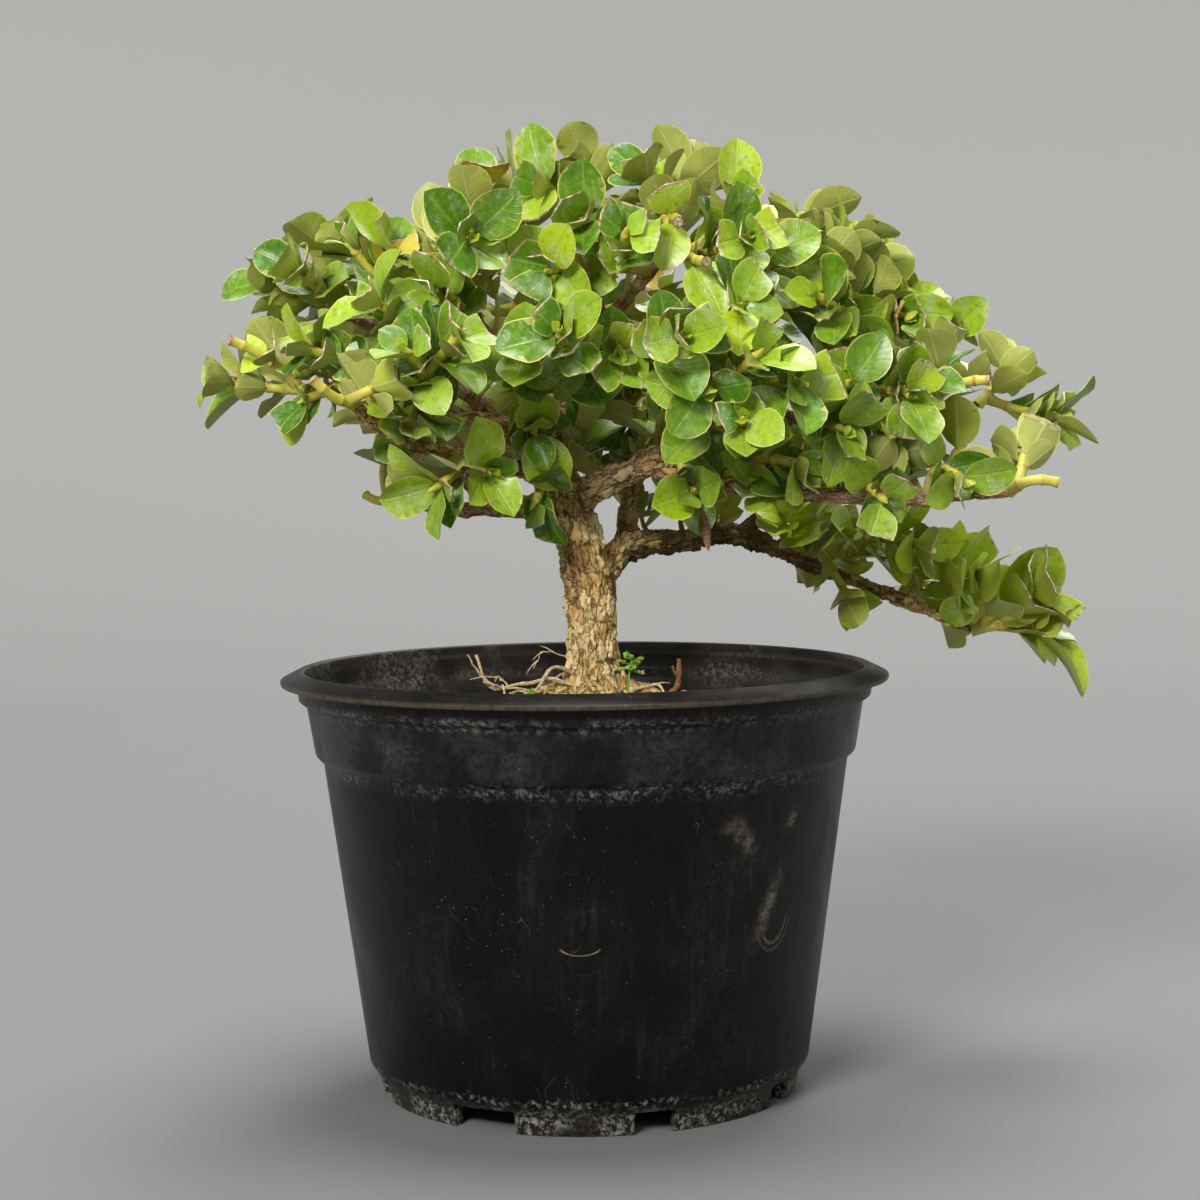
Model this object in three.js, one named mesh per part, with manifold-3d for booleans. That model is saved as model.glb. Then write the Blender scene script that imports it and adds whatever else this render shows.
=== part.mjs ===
// Natal plum bonsai (Carissa macrocarpa) in its black plastic nursery pot.
// Millimetres, +Z up. The tree is laid out about the pot's axis, with the pot's feet at z = 0,
// and the whole group is shifted at the end so that its origin is the middle of its footprint.
import * as THREE from "three";
import { mergeVertices } from "three/addons/utils/BufferGeometryUtils.js";
import Module from "manifold-3d";

const wasm = await Module();
wasm.setup();

// Driving dimensions
const RIM_RADIUS = 82.5; // a "six and a half inch" azalea pot, 165 mm across its lip
const POT_HEIGHT = 115;
const WALL = 1.6;
const FOOT_HEIGHT = 5.6;
const FOOT_COUNT = 8;
const POT_SIDES = 36;
const CLEARANCE = 0.3; // between pieces that touch
const SOIL_AT_WALL = 94;
const SOIL_AT_TRUNK = 107;
const TRUNK_RADIUS = 6.8;
const TRUNK_FOOT = 91; // height of the trunk's flat foot, sunk in the soil
const TRUNK_TOP = 164;

const SHOOT_RADIUS = 1.5;
const FOOT_RADIUS = 1.9; // of a twig where it leaves the bark
const NODE_HALF = 0.8; // half the height of the swelling that a leaf pair stands on
const NODE_SPACING = 7.5; // between leaf pairs
const FORK_HEIGHT = 2.4; // above a twig's foot, where its other shoots fork off
const FORK_HALF = 1.1; // half the height of the fork
const KNEE = 0.45; // share of a shoot's span at which its bend lies
const ROOM = 1.2; // that a bent shoot should leave to other twigs
const FIRST_RING = 3.2; // along a side shoot, past the fork
const LEAF_LENGTH = 14.5;
const LEAF_WIDTH_SHARE = 0.8;
const LEAN = 0.95; // radians between a leaf and its shoot
const SHEARED_SHARE = 0.4; // of the leaves of the highest pairs
const BLADE = 0.8; // leaf thickness
const SEED = 20;

// Materials
const plastic = new THREE.MeshStandardMaterial({ color: 0x17171a, roughness: 0.55, metalness: 0 });
const earth = new THREE.MeshStandardMaterial({ color: 0x3a2a1e, roughness: 1, metalness: 0 });
const bark = new THREE.MeshStandardMaterial({ color: 0x8a7350, roughness: 0.95, metalness: 0 });
const foliage = new THREE.MeshStandardMaterial({ color: 0x5c8f2c, roughness: 0.45, metalness: 0 });
const weed = new THREE.MeshStandardMaterial({ color: 0x6fc01e, roughness: 0.6, metalness: 0 });

// Branches of the tree: centre line points, and the radius at the foot and at the end.
const BRANCHES = {
  leader: { points: [[-2, 0, 154], [-5, 1, 165], [-7, 3, 173], [-4, 3, 181], [1, 1, 188], [2, -3, 196],
    [5, -8, 206]], radii: [4.6, 2.3] },
  rightFork: { points: [[-3, 0, 159], [7, -5, 165], [18, -12, 170], [28, -20, 174], [38, -28, 177]],
    radii: [4.2, 2.5] },
  longRight: { points: [[17, -11, 169], [27, -17, 165], [42, -25, 163], [64, -34, 161], [84, -41, 160],
    [108, -47, 162]], radii: [2.6, 1.7] },
  upperRight: { points: [[38, -28, 177], [54, -22, 181], [70, -28, 183], [90, -35, 185]],
    radii: [2.4, 1.6] },
  lowRight: { points: [[2, 1, 137], [12, 14, 146], [26, 29, 147], [44, 38, 148], [62, 34, 141],
    [82, 26, 133], [108, 15, 122]], radii: [4.6, 1.6] },
  rearRise: { points: [[12, 15, 146], [13, 23, 158], [16, 32, 170], [21, 39, 184], [25, 43, 197]],
    radii: [3.4, 1.9] },
  rearRight: { points: [[44, 38, 148], [60, 45, 160], [80, 46, 172], [98, 42, 181], [113, 36, 185]],
    radii: [2.6, 1.6] },
  rearMiddle: { points: [[16, 32, 170], [11, 48, 176], [1, 62, 182]], radii: [2.4, 1.8] },
  rearOuter: { points: [[17, 34, 174], [30, 50, 186], [42, 60, 195]], radii: [2.4, 1.8] },
  frontLeft: { points: [[-5, 0, 164], [-18, -13, 170], [-38, -29, 173], [-51, -42, 180], [-57, -49, 186]],
    radii: [3.2, 1.8] },
  rearLeft: { points: [[-3, 2, 158], [-22, 20, 157], [-40, 32, 157], [-53, 40, 160]], radii: [2.8, 1.8] },
  rearLeftRise: { points: [[-26, 22, 157], [-36, 42, 167], [-47, 55, 177]], radii: [2.2, 1.7] },
  left: { points: [[-7, 3, 175], [-22, -4, 180], [-40, -10, 185], [-58, -16, 189], [-72, -19, 190]],
    radii: [3.2, 1.9] },
  upperLeft: { points: [[-22, -4, 180], [-36, 4, 194], [-52, 6, 205], [-64, 2, 211]], radii: [2.5, 1.8] },
  crownLeft: { points: [[-4, 3, 181], [-14, -6, 192], [-26, -15, 206], [-32, -20, 220]],
    radii: [2.4, 1.7] },
  crown: { points: [[5, -8, 206], [4, -11, 220], [3, -4, 234]], radii: [2.2, 1.7] },
  crownRight: { points: [[5, -8, 206], [15, -19, 216], [24, -28, 227]], radii: [2.1, 1.7] },
  crownRear: { points: [[-5, 3, 180], [-5, 19, 198], [-3, 32, 214]], radii: [2.6, 1.8] },
  right: { points: [[2, -3, 196], [20, -13, 203], [40, -21, 208], [58, -14, 211], [76, -4, 206],
    [94, 6, 203]], radii: [2.4, 1.6] },
};

// Leafy twigs: the branch that each grows from, how far along it, and the ends of its shoots.
// A shoot is x, y, z of its end, its number of leaf pairs, the bare length past the last pair, and
// the size of its leaves where they aren't full size.
const BUD = 1.5;
const TWIGS = [
  ["left", 1, [[-98, -20, 194, 1, 2, 0.5], [-91, -27, 203, 1, 12], [-84, -6, 201, 2, BUD]]],
  ["left", 0.8, [[-71, -33, 200, 2, BUD], [-72, -30, 187, 1, BUD, 0.8]]],
  ["left", 0.5, [[-50, -26, 193, 2, BUD], [-46, -2, 172, 1, BUD]]],
  ["upperLeft", 1, [[-86, 0, 220, 2, BUD], [-75, -12, 222, 1, BUD], [-69, 10, 229, 2, BUD]]],
  ["upperLeft", 0.72, [[-61, -8, 228, 2, BUD], [-49, -16, 227, 2, BUD]]],
  ["upperLeft", 0.5, [[-40, 14, 226, 2, BUD], [-57, 28, 208, 2, BUD]]],
  ["frontLeft", 1, [[-66, -60, 192, 1, 12], [-50, -55, 190, 1, BUD]]],
  ["frontLeft", 0.62, [[-43, -62, 199, 2, BUD], [-29, -58, 203, 2, BUD]]],
  ["frontLeft", 0.45, [[-38, -42, 164, 1, BUD], [-24, -36, 168, 1, BUD]]],
  ["frontLeft", 0.2, [[-13, -22, 159, 1, BUD]]],
  ["crownLeft", 1, [[-27, -42, 228, 2, BUD], [-27, -18, 242, 2, BUD], [-37, -8, 230, 1, BUD]]],
  ["crownLeft", 0.72, [[-52, -42, 212, 2, BUD], [-37, -46, 214, 1, BUD]]],
  ["crownLeft", 0.42, [[-14, -44, 199, 2, BUD], [-12, -26, 178, 1, BUD]]],
  ["crown", 1, [[3, 0, 250, 2, BUD], [-9, -22, 242, 2, BUD], [-18, 2, 245, 1, BUD]]],
  ["crown", 0.5, [[-8, -43, 219, 2, BUD], [1, -38, 232, 1, BUD]]],
  ["leader", 0.9, [[-5, -58, 203, 1, BUD], [10, -48, 198, 1, BUD]]],
  ["crownRight", 1, [[25, -52, 230, 1, 7], [32, -54, 220, 1, 9], [17, -30, 243, 1, BUD]]],
  ["crownRight", 0.7, [[12, -52, 228, 1, BUD]]],
  ["crownRight", 0.9, [[41, -36, 238, 2, BUD], [29, -8, 247, 2, BUD], [42, -54, 226, 1, BUD]]],
  ["right", 0.22, [[25, -70, 201, 2, BUD], [32, -62, 188, 1, BUD]]],
  ["right", 0.42, [[47, -46, 221, 2, BUD], [55, -24, 230, 2, BUD], [40, -60, 209, 1, BUD]]],
  ["right", 0.6, [[60, -2, 235, 1, BUD], [71, -12, 229, 2, BUD], [82, 4, 222, 1, BUD]]],
  ["right", 0.7, [[60, -44, 212, 2, BUD], [68, -30, 203, 1, BUD]]],
  ["right", 0.85, [[86, -14, 208, 2, BUD], [83, 30, 203, 1, BUD]]],
  ["right", 1, [[110, 11, 207, 1, 11], [99, -3, 204, 1, BUD]]],
  ["rightFork", 0.95, [[44, -68, 197, 2, BUD], [40, -66, 181, 1, BUD], [54, -62, 190, 1, BUD]]],
  ["rightFork", 0.72, [[29, -38, 163, 1, BUD]]],
  ["upperRight", 0.5, [[66, -50, 178, 1, BUD], [68, -48, 190, 1, BUD]]],
  ["upperRight", 0.72, [[76, -18, 196, 2, BUD], [83, -54, 186, 1, BUD]]],
  ["upperRight", 1, [[104, -42, 190, 1, 13], [93, -34, 199, 1, BUD]]],
  ["longRight", 0.45, [[56, -46, 169, 1, BUD], [46, -14, 172, 1, BUD]]],
  ["longRight", 0.66, [[80, -32, 172, 1, BUD], [76, -54, 160, 1, BUD]]],
  ["longRight", 0.84, [[95, -58, 165, 1, BUD], [100, -26, 176, 2, 8]]],
  ["longRight", 1, [[120, -50, 164, 1, 13], [114, -34, 172, 1, BUD]]],
  ["rearRight", 1, [[122, 42, 195, 1, BUD], [135, 28, 181, 2, BUD]]],
  ["rearRight", 0.72, [[92, 60, 190, 2, BUD], [90, 28, 190, 1, BUD]]],
  ["rearRight", 0.42, [[66, 62, 176, 2, BUD], [72, 24, 170, 1, BUD]]],
  ["lowRight", 1, [[125, 11, 123, 1, BUD], [124, 5, 133, 1, BUD]]],
  ["lowRight", 0.88, [[110, 10, 137, 1, BUD], [104, 30, 131, 1, BUD]]],
  ["lowRight", 0.76, [[93, 8, 146, 2, BUD], [84, 34, 148, 1, BUD]]],
  ["lowRight", 0.62, [[74, 20, 131, 1, BUD], [56, 20, 156, 1, BUD], [70, 52, 146, 1, BUD]]],
  ["rearRise", 1, [[24, 36, 218, 2, BUD], [38, 40, 214, 1, BUD], [10, 56, 210, 2, BUD]]],
  ["rearRise", 0.55, [[36, 26, 186, 1, BUD], [-2, 38, 182, 1, BUD]]],
  ["rearRise", 0.78, [[6, 26, 186, 2, BUD], [17, 22, 180, 1, BUD]]],
  ["rearMiddle", 1, [[-6, 80, 188, 2, BUD], [8, 80, 196, 1, BUD], [-12, 62, 200, 2, BUD]]],
  ["rearMiddle", 0.5, [[24, 66, 174, 2, BUD]]],
  ["rearOuter", 1, [[54, 72, 200, 2, BUD], [38, 78, 206, 1, BUD], [58, 54, 212, 2, BUD]]],
  ["rearLeft", 1, [[-63, 44, 161, 0, 3], [-50, 28, 178, 1, BUD], [-50, 48, 184, 1, BUD]]],
  ["rearLeftRise", 1, [[-60, 66, 184, 2, BUD], [-45, 74, 190, 1, BUD], [-60, 46, 193, 1, BUD]]],
  ["rearLeftRise", 0.5, [[-30, 64, 182, 2, BUD], [-38, 30, 188, 1, BUD]]],
  ["crownRear", 1, [[6, 30, 236, 2, BUD], [-18, 30, 232, 2, BUD], [-30, 46, 212, 1, BUD]]],
  ["crownRear", 0.6, [[-28, 24, 204, 1, BUD], [14, 14, 214, 1, BUD]]],
];

// Surface roots: points from the trunk's foot outwards, and the radius at each end.
const ROOTS = [
  { points: [[3, 0, 112], [-6, -5, 108], [-15, -9, 106.5], [-22, -12, 104]], radii: [3.6, 0.9] },
  { points: [[3, 0, 113], [2, -8, 108], [1, -17, 105.5], [-2, -25, 103]], radii: [3.8, 0.9] },
  { points: [[3, 0, 113], [11, -3, 109], [18, -6, 107.5], [25, -10, 104.5]], radii: [3.4, 1] },
  { points: [[3, 0, 112], [8, 8, 108], [12, 17, 106], [14, 26, 103]], radii: [3.6, 0.9] },
  { points: [[3, 0, 112], [-5, 7, 108], [-12, 14, 106], [-20, 20, 103.5]], radii: [3.2, 0.9] },
  { points: [[-2, -6, 109.5], [-9, -9, 112], [-16, -10, 111], [-25, -14, 110.5], [-29, -12, 119]],
    radii: [0.9, 0.6] },
  { points: [[-2, -3, 112], [-8, -8, 115], [-14, -14, 108.5], [-18, -20, 104.5]], radii: [0.9, 0.7] },
  { points: [[22, -8, 106.5], [25, -9, 110], [25.5, -9, 117]], radii: [1, 0.6] },
];

// Vectors, random numbers and curves
const vec = (x, y, z) => new THREE.Vector3(x, y, z);
const along = (start, direction, distance) => start.clone().addScaledVector(direction, distance);
const between = (a, b) => b.clone().sub(a).normalize();

// The mulberry32 generator: the same draws every time for the same seed.
function randomFrom(seed) {
  let state = seed >>> 0;
  return () => {
    state = (state + 0x6d2b79f5) >>> 0;
    let t = Math.imul(state ^ (state >>> 15), state | 1);
    t ^= t + Math.imul(t ^ (t >>> 7), t | 61);
    return ((t ^ (t >>> 14)) >>> 0) / 4294967296;
  };
}

// A unit vector at right angles to an axis, turned by an angle round it.
function across(axis, angle) {
  const helper = Math.abs(axis.z) < 0.9 ? vec(0, 0, 1) : vec(1, 0, 0);
  const first = helper.cross(axis).normalize();
  const second = axis.clone().cross(first);
  return first.multiplyScalar(Math.cos(angle)).addScaledVector(second, Math.sin(angle));
}

// A side vector carried along a stem to a new tangent without twisting.
function carried(side, tangent) {
  return side.clone().addScaledVector(tangent, -side.dot(tangent)).normalize();
}

function curveThrough(points) {
  return new THREE.CatmullRomCurve3(points.map((p) => vec(...p)), false, "catmullrom", 0.5);
}

function bezierTangent(curve, share) {
  const early = curve.v1.clone().sub(curve.v0).multiplyScalar(1 - share);
  return curve.v2.clone().sub(curve.v1).multiplyScalar(share).add(early).normalize();
}

// Solids
function toSolid(geometry) {
  const bare = geometry.clone();
  bare.deleteAttribute("normal");
  bare.deleteAttribute("uv");
  const merged = mergeVertices(bare, 1e-4);
  return new wasm.Manifold(new wasm.Mesh({
    numProp: 3,
    vertProperties: new Float32Array(merged.attributes.position.array),
    triVerts: new Uint32Array(merged.index.array),
  }));
}

function closedSolid(points, faces) {
  const geometry = new THREE.BufferGeometry();
  geometry.setAttribute("position", new THREE.Float32BufferAttribute(points.flatMap((p) => [...p]), 3));
  geometry.setIndex(faces);
  return toSolid(geometry);
}

const fuse = (solids) => wasm.Manifold.union(solids);

function toMesh(solid, name, material) {
  const data = solid.getMesh();
  const geometry = new THREE.BufferGeometry();
  geometry.setAttribute("position", new THREE.BufferAttribute(new Float32Array(data.vertProperties), 3));
  geometry.setIndex(new THREE.BufferAttribute(new Uint32Array(data.triVerts), 1));
  geometry.computeVertexNormals();
  const mesh = new THREE.Mesh(geometry, material);
  mesh.name = name;
  return mesh;
}

// A closed rod through the centres, with its own radius at each ring and flat ends.
function rod(centres, radiusAt, sides, firstAxis) {
  const points = [];
  const faces = [];
  const last = centres.length - 1;
  let side = null;
  centres.forEach((centre, i) => {
    const square = i === 0 && firstAxis;
    const tangent = square ? firstAxis : between(centres[Math.max(i - 1, 0)], centres[Math.min(i + 1, last)]);
    side = side ? carried(side, tangent) : across(tangent, 0);
    const up = tangent.clone().cross(side);
    for (let k = 0; k < sides; k += 1) {
      const angle = (2 * Math.PI * k) / sides;
      const radius = radiusAt(i / last, angle);
      points.push(along(along(centre, side, radius * Math.cos(angle)), up, radius * Math.sin(angle)));
    }
  });
  for (let i = 0; i < last; i += 1) {
    for (let k = 0; k < sides; k += 1) {
      const a = i * sides + k;
      const b = i * sides + ((k + 1) % sides);
      faces.push(a, b, b + sides, a, b + sides, a + sides);
    }
  }
  for (let k = 1; k < sides - 1; k += 1) {
    faces.push(0, k + 1, k, last * sides, last * sides + k, last * sides + k + 1);
  }
  return closedSolid(points, faces);
}

function lathe(profile, sides) {
  const geometry = new THREE.LatheGeometry(profile.map((p) => new THREE.Vector2(...p)), sides);
  return toSolid(geometry.rotateX(Math.PI / 2));
}

// Pot
// Outer wall from the foot up, over the sloping lip, and back down the inside to the axis.
const INNER_BASE = 60.1 - WALL;
const INNER_SHOULDER = 71.2 - WALL;
const FLOOR = FOOT_HEIGHT + WALL;
const POT_PROFILE = [
  [0, FOOT_HEIGHT], [53.6, FOOT_HEIGHT], [53.9, 0], [56.6, 0], [57.6, 5.2], [60.1, 8.5], [71.2, 90.5],
  [73.3, 92.2], [75.5, 105.8], [77.6, 107], [77.9, 111], [RIM_RADIUS - 0.2, 111.2], [RIM_RADIUS, 112.4],
  [77.2, POT_HEIGHT], [75.9, 114.6], [75.4, 107], [73.6, 104.5], [71.6, 93], [INNER_SHOULDER, 90.6],
  [INNER_BASE, FLOOR + 1.5], [INNER_BASE - 2, FLOOR], [0, FLOOR],
];
const GAP_START = -28; // degrees from the front to the middle of the widest gap between feet
const WIDE_GAP = 18; // degrees, the two gaps on either side of the pot
const NARROW_GAP = 11;
const GAP_RADIUS = 56;
const GAP_DEPTH = 12; // across the ring of feet
const SLOT_TOP = 6.3; // of the drain slots, above the ground

// A gap between two feet, which also opens a drain slot in the outer edge of the floor.
function footGap(index) {
  const wide = index % (FOOT_COUNT / 2) === 0;
  const width = 2 * GAP_RADIUS * Math.tan(((wide ? WIDE_GAP : NARROW_GAP) / 2) * (Math.PI / 180));
  const box = new THREE.BoxGeometry(width, GAP_DEPTH, 2 * SLOT_TOP);
  box.translate(0, -GAP_RADIUS, 0);
  const turn = ((GAP_START + (360 / FOOT_COUNT) * index) * Math.PI) / 180;
  return toSolid(box.rotateZ(turn));
}

function makePot() {
  let pot = lathe(POT_PROFILE, POT_SIDES);
  for (let i = 0; i < FOOT_COUNT; i += 1) {
    pot = pot.subtract(footGap(i));
  }
  return pot;
}

// Soil
// A mound that fills the pot, clear of its wall, highest round the trunk.
const SOIL_SIDES = 20;
const WALL_SAG = 1 - Math.cos(Math.PI / POT_SIDES); // of the pot's flat sides

function makeSoil(rooted) {
  const base = INNER_BASE * (1 - WALL_SAG) - CLEARANCE;
  const outer = INNER_SHOULDER * (1 - WALL_SAG) - CLEARANCE;
  const profile = [
    [0, FLOOR + CLEARANCE], [base - 2, FLOOR + CLEARANCE], [base, FLOOR + 2],
    [outer, 90.4], [outer - 2, SOIL_AT_WALL], [48, 98.5], [22, 104], [0, SOIL_AT_TRUNK],
  ];
  return lathe(profile, SOIL_SIDES).subtract(rooted);
}

// Wood
const TRUNK_POINTS = [[3, 0, TRUNK_FOOT], [3, 0, 104], [2.6, 0, 110], [2.4, 0, 122], [2.2, 0, 134],
  [0, 0, 144], [-2, 0, 153], [-3.2, 0, 159], [-4.4, 0.5, TRUNK_TOP]];
const TRUNK_SIDES = 10;
const TRUNK_RINGS = 16;

// Trunk radius by height: a straight foot in the soil, the flare, the shaft and the callus at the fork.
function trunkRadius(share, angle, spare) {
  const z = TRUNK_FOOT + share * (TRUNK_TOP - TRUNK_FOOT);
  const flare = 3.6 * Math.exp(-(((z - 104) / 7) ** 2));
  const taper = z > 134 ? -2 * Math.min(1, (z - 134) / 18) : 0;
  const callus = 1.5 * Math.exp(-(((z - 158) / 3.5) ** 2));
  const ridges = 0.55 * Math.sin(5 * angle + z * 0.09) + 0.3 * Math.sin(3 * angle - z * 0.21);
  const smooth = z < 100 ? 0 : ridges;
  return TRUNK_RADIUS + flare + taper + callus + smooth + spare;
}

function evenCentres(curve, rings) {
  return Array.from({ length: rings + 1 }, (_, i) => curve.getPoint(i / rings));
}

function trunk(spare) {
  const centres = evenCentres(curveThrough(TRUNK_POINTS), TRUNK_RINGS);
  return rod(centres, (share, angle) => trunkRadius(share, angle, spare), TRUNK_SIDES, vec(0, 0, 1));
}

function rootRod(root, spare) {
  const centres = evenCentres(curveThrough(root.points), root.points.length);
  const [thick, thin] = root.radii;
  return rod(centres, (share) => thick + (thin - thick) * share + spare, 5);
}

function branchRadius(branch, share) {
  const [thick, thin] = branch.radii;
  return thick + (thin - thick) * share;
}

// Rings of a branch: at each of its points, and wherever a twig stands on it.
function branchRod(name) {
  const branch = BRANCHES[name];
  const spans = branch.points.length - 1;
  const shares = branch.points.map((_, i) => i / spans);
  TWIGS.forEach(([branchName, share]) => {
    if (branchName === name && shares.every((s) => Math.abs(s - share) > 0.02)) {
      shares.push(share);
    }
  });
  shares.sort((a, b) => a - b);
  const curve = curveThrough(branch.points);
  const centres = shares.map((share) => curve.getPoint(share));
  const radiusAt = (ring) => branchRadius(branch, shares[Math.round(ring * (shares.length - 1))]);
  return rod(centres, radiusAt, branch.radii[0] > 3 ? 6 : 5);
}

// Layout of the leafy twigs
const SHOOT_STEPS = 8;
const BENDS = 13; // tried: straight, then six ways round by either of two sways
const SWAYS = [0, 0.18, 0.36];

// Points with a reach and an owner, which leaves and shoots keep clear of.
function stemPoints(curve, radiusAt, owner, shoot, steps) {
  return Array.from({ length: steps + 1 }, (_, i) => {
    return { at: curve.getPoint(i / steps), reach: radiusAt(i / steps), owner, shoot, share: i / steps };
  });
}

// The twig's foot: a flat face on the bark, or on the end of the branch.
function twigFoot([branchName, share, shoots]) {
  const branch = BRANCHES[branchName];
  const curve = curveThrough(branch.points);
  const root = curve.getPoint(share);
  const grain = curve.getTangent(share);
  if (share === 1) {
    return { axis: grain, foot: along(root, grain, CLEARANCE) };
  }
  const middle = vec(0, 0, 0);
  shoots.forEach(([x, y, z]) => middle.add(vec(x, y, z)));
  const axis = carried(middle.divideScalar(shoots.length).sub(root), grain);
  return { axis, foot: along(root, axis, branchRadius(branch, share) + CLEARANCE) };
}

// The first of several bends that keeps a shoot clear of every other twig's stems, or the best.
function bendClear(start, lead, tip, stems, twig) {
  const span = start.distanceTo(tip);
  let best = null;
  for (let i = 0; i < BENDS; i += 1) {
    const sway = SWAYS[Math.ceil(i / 6)] * span;
    const knee = along(along(start, lead, KNEE * span), across(lead, (i * Math.PI) / 3), sway);
    const curve = new THREE.QuadraticBezierCurve3(start, knee, tip);
    let room = Infinity;
    for (let k = 1; k <= SHOOT_STEPS; k += 1) {
      const point = curve.getPoint(k / SHOOT_STEPS);
      for (const stem of stems) {
        if (stem.owner !== twig) {
          room = Math.min(room, point.distanceTo(stem.at) - stem.reach - SHOOT_RADIUS);
        }
      }
    }
    if (!best || room > best.room) {
      best = { curve, room };
    }
    if (room > ROOM) {
      break;
    }
  }
  return best.curve;
}

// A frame on a stem: its centre, its tangent, two directions across it and what grows from it.
function frameAt(centre, tangent, side, offsets) {
  return { centre, tangent, side, up: tangent.clone().cross(side), offsets, leaves: [], forks: [] };
}

// The direction that one of a frame's four faces looks in.
function faceOut({ side, up }, face) {
  const angle = (face * Math.PI) / 2;
  return side.clone().multiplyScalar(Math.cos(angle)).addScaledVector(up, Math.sin(angle));
}

const faceCentre = (frame, out, radius) => along(frame.centre, out, radius * Math.SQRT1_2);

function shootOf(curve, frames, id, twig, [, , , pairs, bare, size = 1]) {
  return {
    twig, id, curve, frames, pairs, bare, radius: SHOOT_RADIUS, blade: BLADE, leafLength: LEAF_LENGTH * size,
    spacing: NODE_SPACING, length: curve.v0.distanceTo(curve.v2),
  };
}

// A twig's first shoot, with its foot and its fork, and then the others on the fork's free faces.
function layOutTwig([, , ends], twig, { foot, axis }, stems, shoots) {
  const tips = ends.map(([x, y, z]) => vec(x, y, z));
  const main = bendClear(foot, axis, tips[0], stems, twig);
  const aim = tips.length > 1 ? tips[1].clone().sub(foot) : across(axis, 0);
  const footFrame = frameAt(foot, axis, carried(aim, axis), [0]);
  const forkShare = FORK_HEIGHT / foot.distanceTo(tips[0]);
  const tangent = bezierTangent(main, forkShare);
  const side = carried(footFrame.side, tangent);
  const fork = frameAt(main.getPoint(forkShare), tangent, side, [-FORK_HALF, FORK_HALF]);
  const steps = 2 * SHOOT_STEPS;
  const free = [0, 1, 2, 3];
  tips.forEach((tip, index) => {
    const id = shoots.length;
    if (index === 0) {
      shoots.push(shootOf(main, [footFrame, fork], id, twig, ends[0]));
      stems.push(...stemPoints(main, () => SHOOT_RADIUS, twig, id, steps));
      return;
    }
    const leadTo = between(fork.centre, tip);
    free.sort((p, q) => faceOut(fork, q).dot(leadTo) - faceOut(fork, p).dot(leadTo));
    const face = free.shift();
    const out = faceOut(fork, face);
    const start = faceCentre(fork, out, SHOOT_RADIUS);
    const lead = between(start, tip).addScaledVector(out, 0.6).normalize();
    const curve = bendClear(start, lead, tip, stems, twig);
    const first = FIRST_RING / start.distanceTo(tip);
    const below = fork.tangent.clone().negate();
    const ring = frameAt(start, out, below, [0]);
    const firstTangent = bezierTangent(curve, first);
    const next = frameAt(curve.getPoint(first), firstTangent, carried(below, firstTangent), [0]);
    const shoot = shootOf(curve, [ring, next], id, twig, ends[index]);
    fork.forks.push({ face, shoot });
    shoots.push(shoot);
    stems.push(...stemPoints(curve, () => SHOOT_RADIUS, twig, id, steps));
  });
}

function layOutShoots() {
  const stems = [];
  Object.entries(BRANCHES).forEach(([name, branch]) => {
    const steps = 12 * (branch.points.length - 1);
    stems.push(...stemPoints(curveThrough(branch.points), (t) => branchRadius(branch, t), name, -1, steps));
  });
  const feet = TWIGS.map(twigFoot);
  feet.forEach(({ foot }, twig) => stems.push({ at: foot, reach: FOOT_RADIUS, owner: twig, shoot: -1, share: 0 }));
  const shoots = [];
  TWIGS.forEach((twig, index) => layOutTwig(twig, index, feet[index], stems, shoots));
  return { stems, shoots };
}

// Adds the frames of a shoot's nodes, from the lowest up, and of its tip.
function addNodes(shoot) {
  const shares = [1];
  for (let pair = 0; pair < shoot.pairs; pair += 1) {
    const share = 1 - (shoot.bare + pair * shoot.spacing) / shoot.length;
    if (share * shoot.length > FIRST_RING + 2 * NODE_HALF) {
      shares.unshift(share);
    }
  }
  shoot.nodes = shares.length - 1;
  shares.forEach((share) => {
    const tangent = bezierTangent(shoot.curve, share);
    const side = carried(shoot.frames[shoot.frames.length - 1].side, tangent);
    const offsets = share === 1 ? [0] : [-NODE_HALF, NODE_HALF];
    shoot.frames.push(frameAt(shoot.curve.getPoint(share), tangent, side, offsets));
  });
}

// Leaves
// A leaf point at a share of the length, and across from -1 to 1 of the half width.
function leafPoint(leaf, s, u) {
  const rise = 2 * s ** 1.12 - 1;
  const half = 0.5 * leaf.width * Math.sqrt(Math.max(0, 1 - rise * rise)) * u;
  const point = along(leaf.base, leaf.direction, leaf.length * s);
  point.addScaledVector(leaf.normal, -leaf.droop * leaf.length * s * s);
  point.addScaledVector(leaf.side, half * Math.cos(leaf.fold));
  return point.addScaledVector(leaf.normal, Math.abs(half) * Math.sin(leaf.fold));
}

// Shears cut the blade straight across at a share of its length, at a slant.
const cutShare = (leaf, u) => Math.min(1, leaf.cut + leaf.slant * u);

const SAMPLE_ROWS = [0.2, 0.4, 0.6, 0.8, 1];
const SAMPLE_COLUMNS = [-0.9, -0.45, 0, 0.45, 0.9];
const MIDDLE_SAMPLE = 12;
const LEAF_REACH = 1.25; // of a sample point
const LEAF_SPREAD = 20; // between the middles of leaves that can't touch

function leafSamples(leaf) {
  return SAMPLE_ROWS.flatMap((row) => SAMPLE_COLUMNS.map((u) => leafPoint(leaf, row * cutShare(leaf, u), u)));
}

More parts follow.
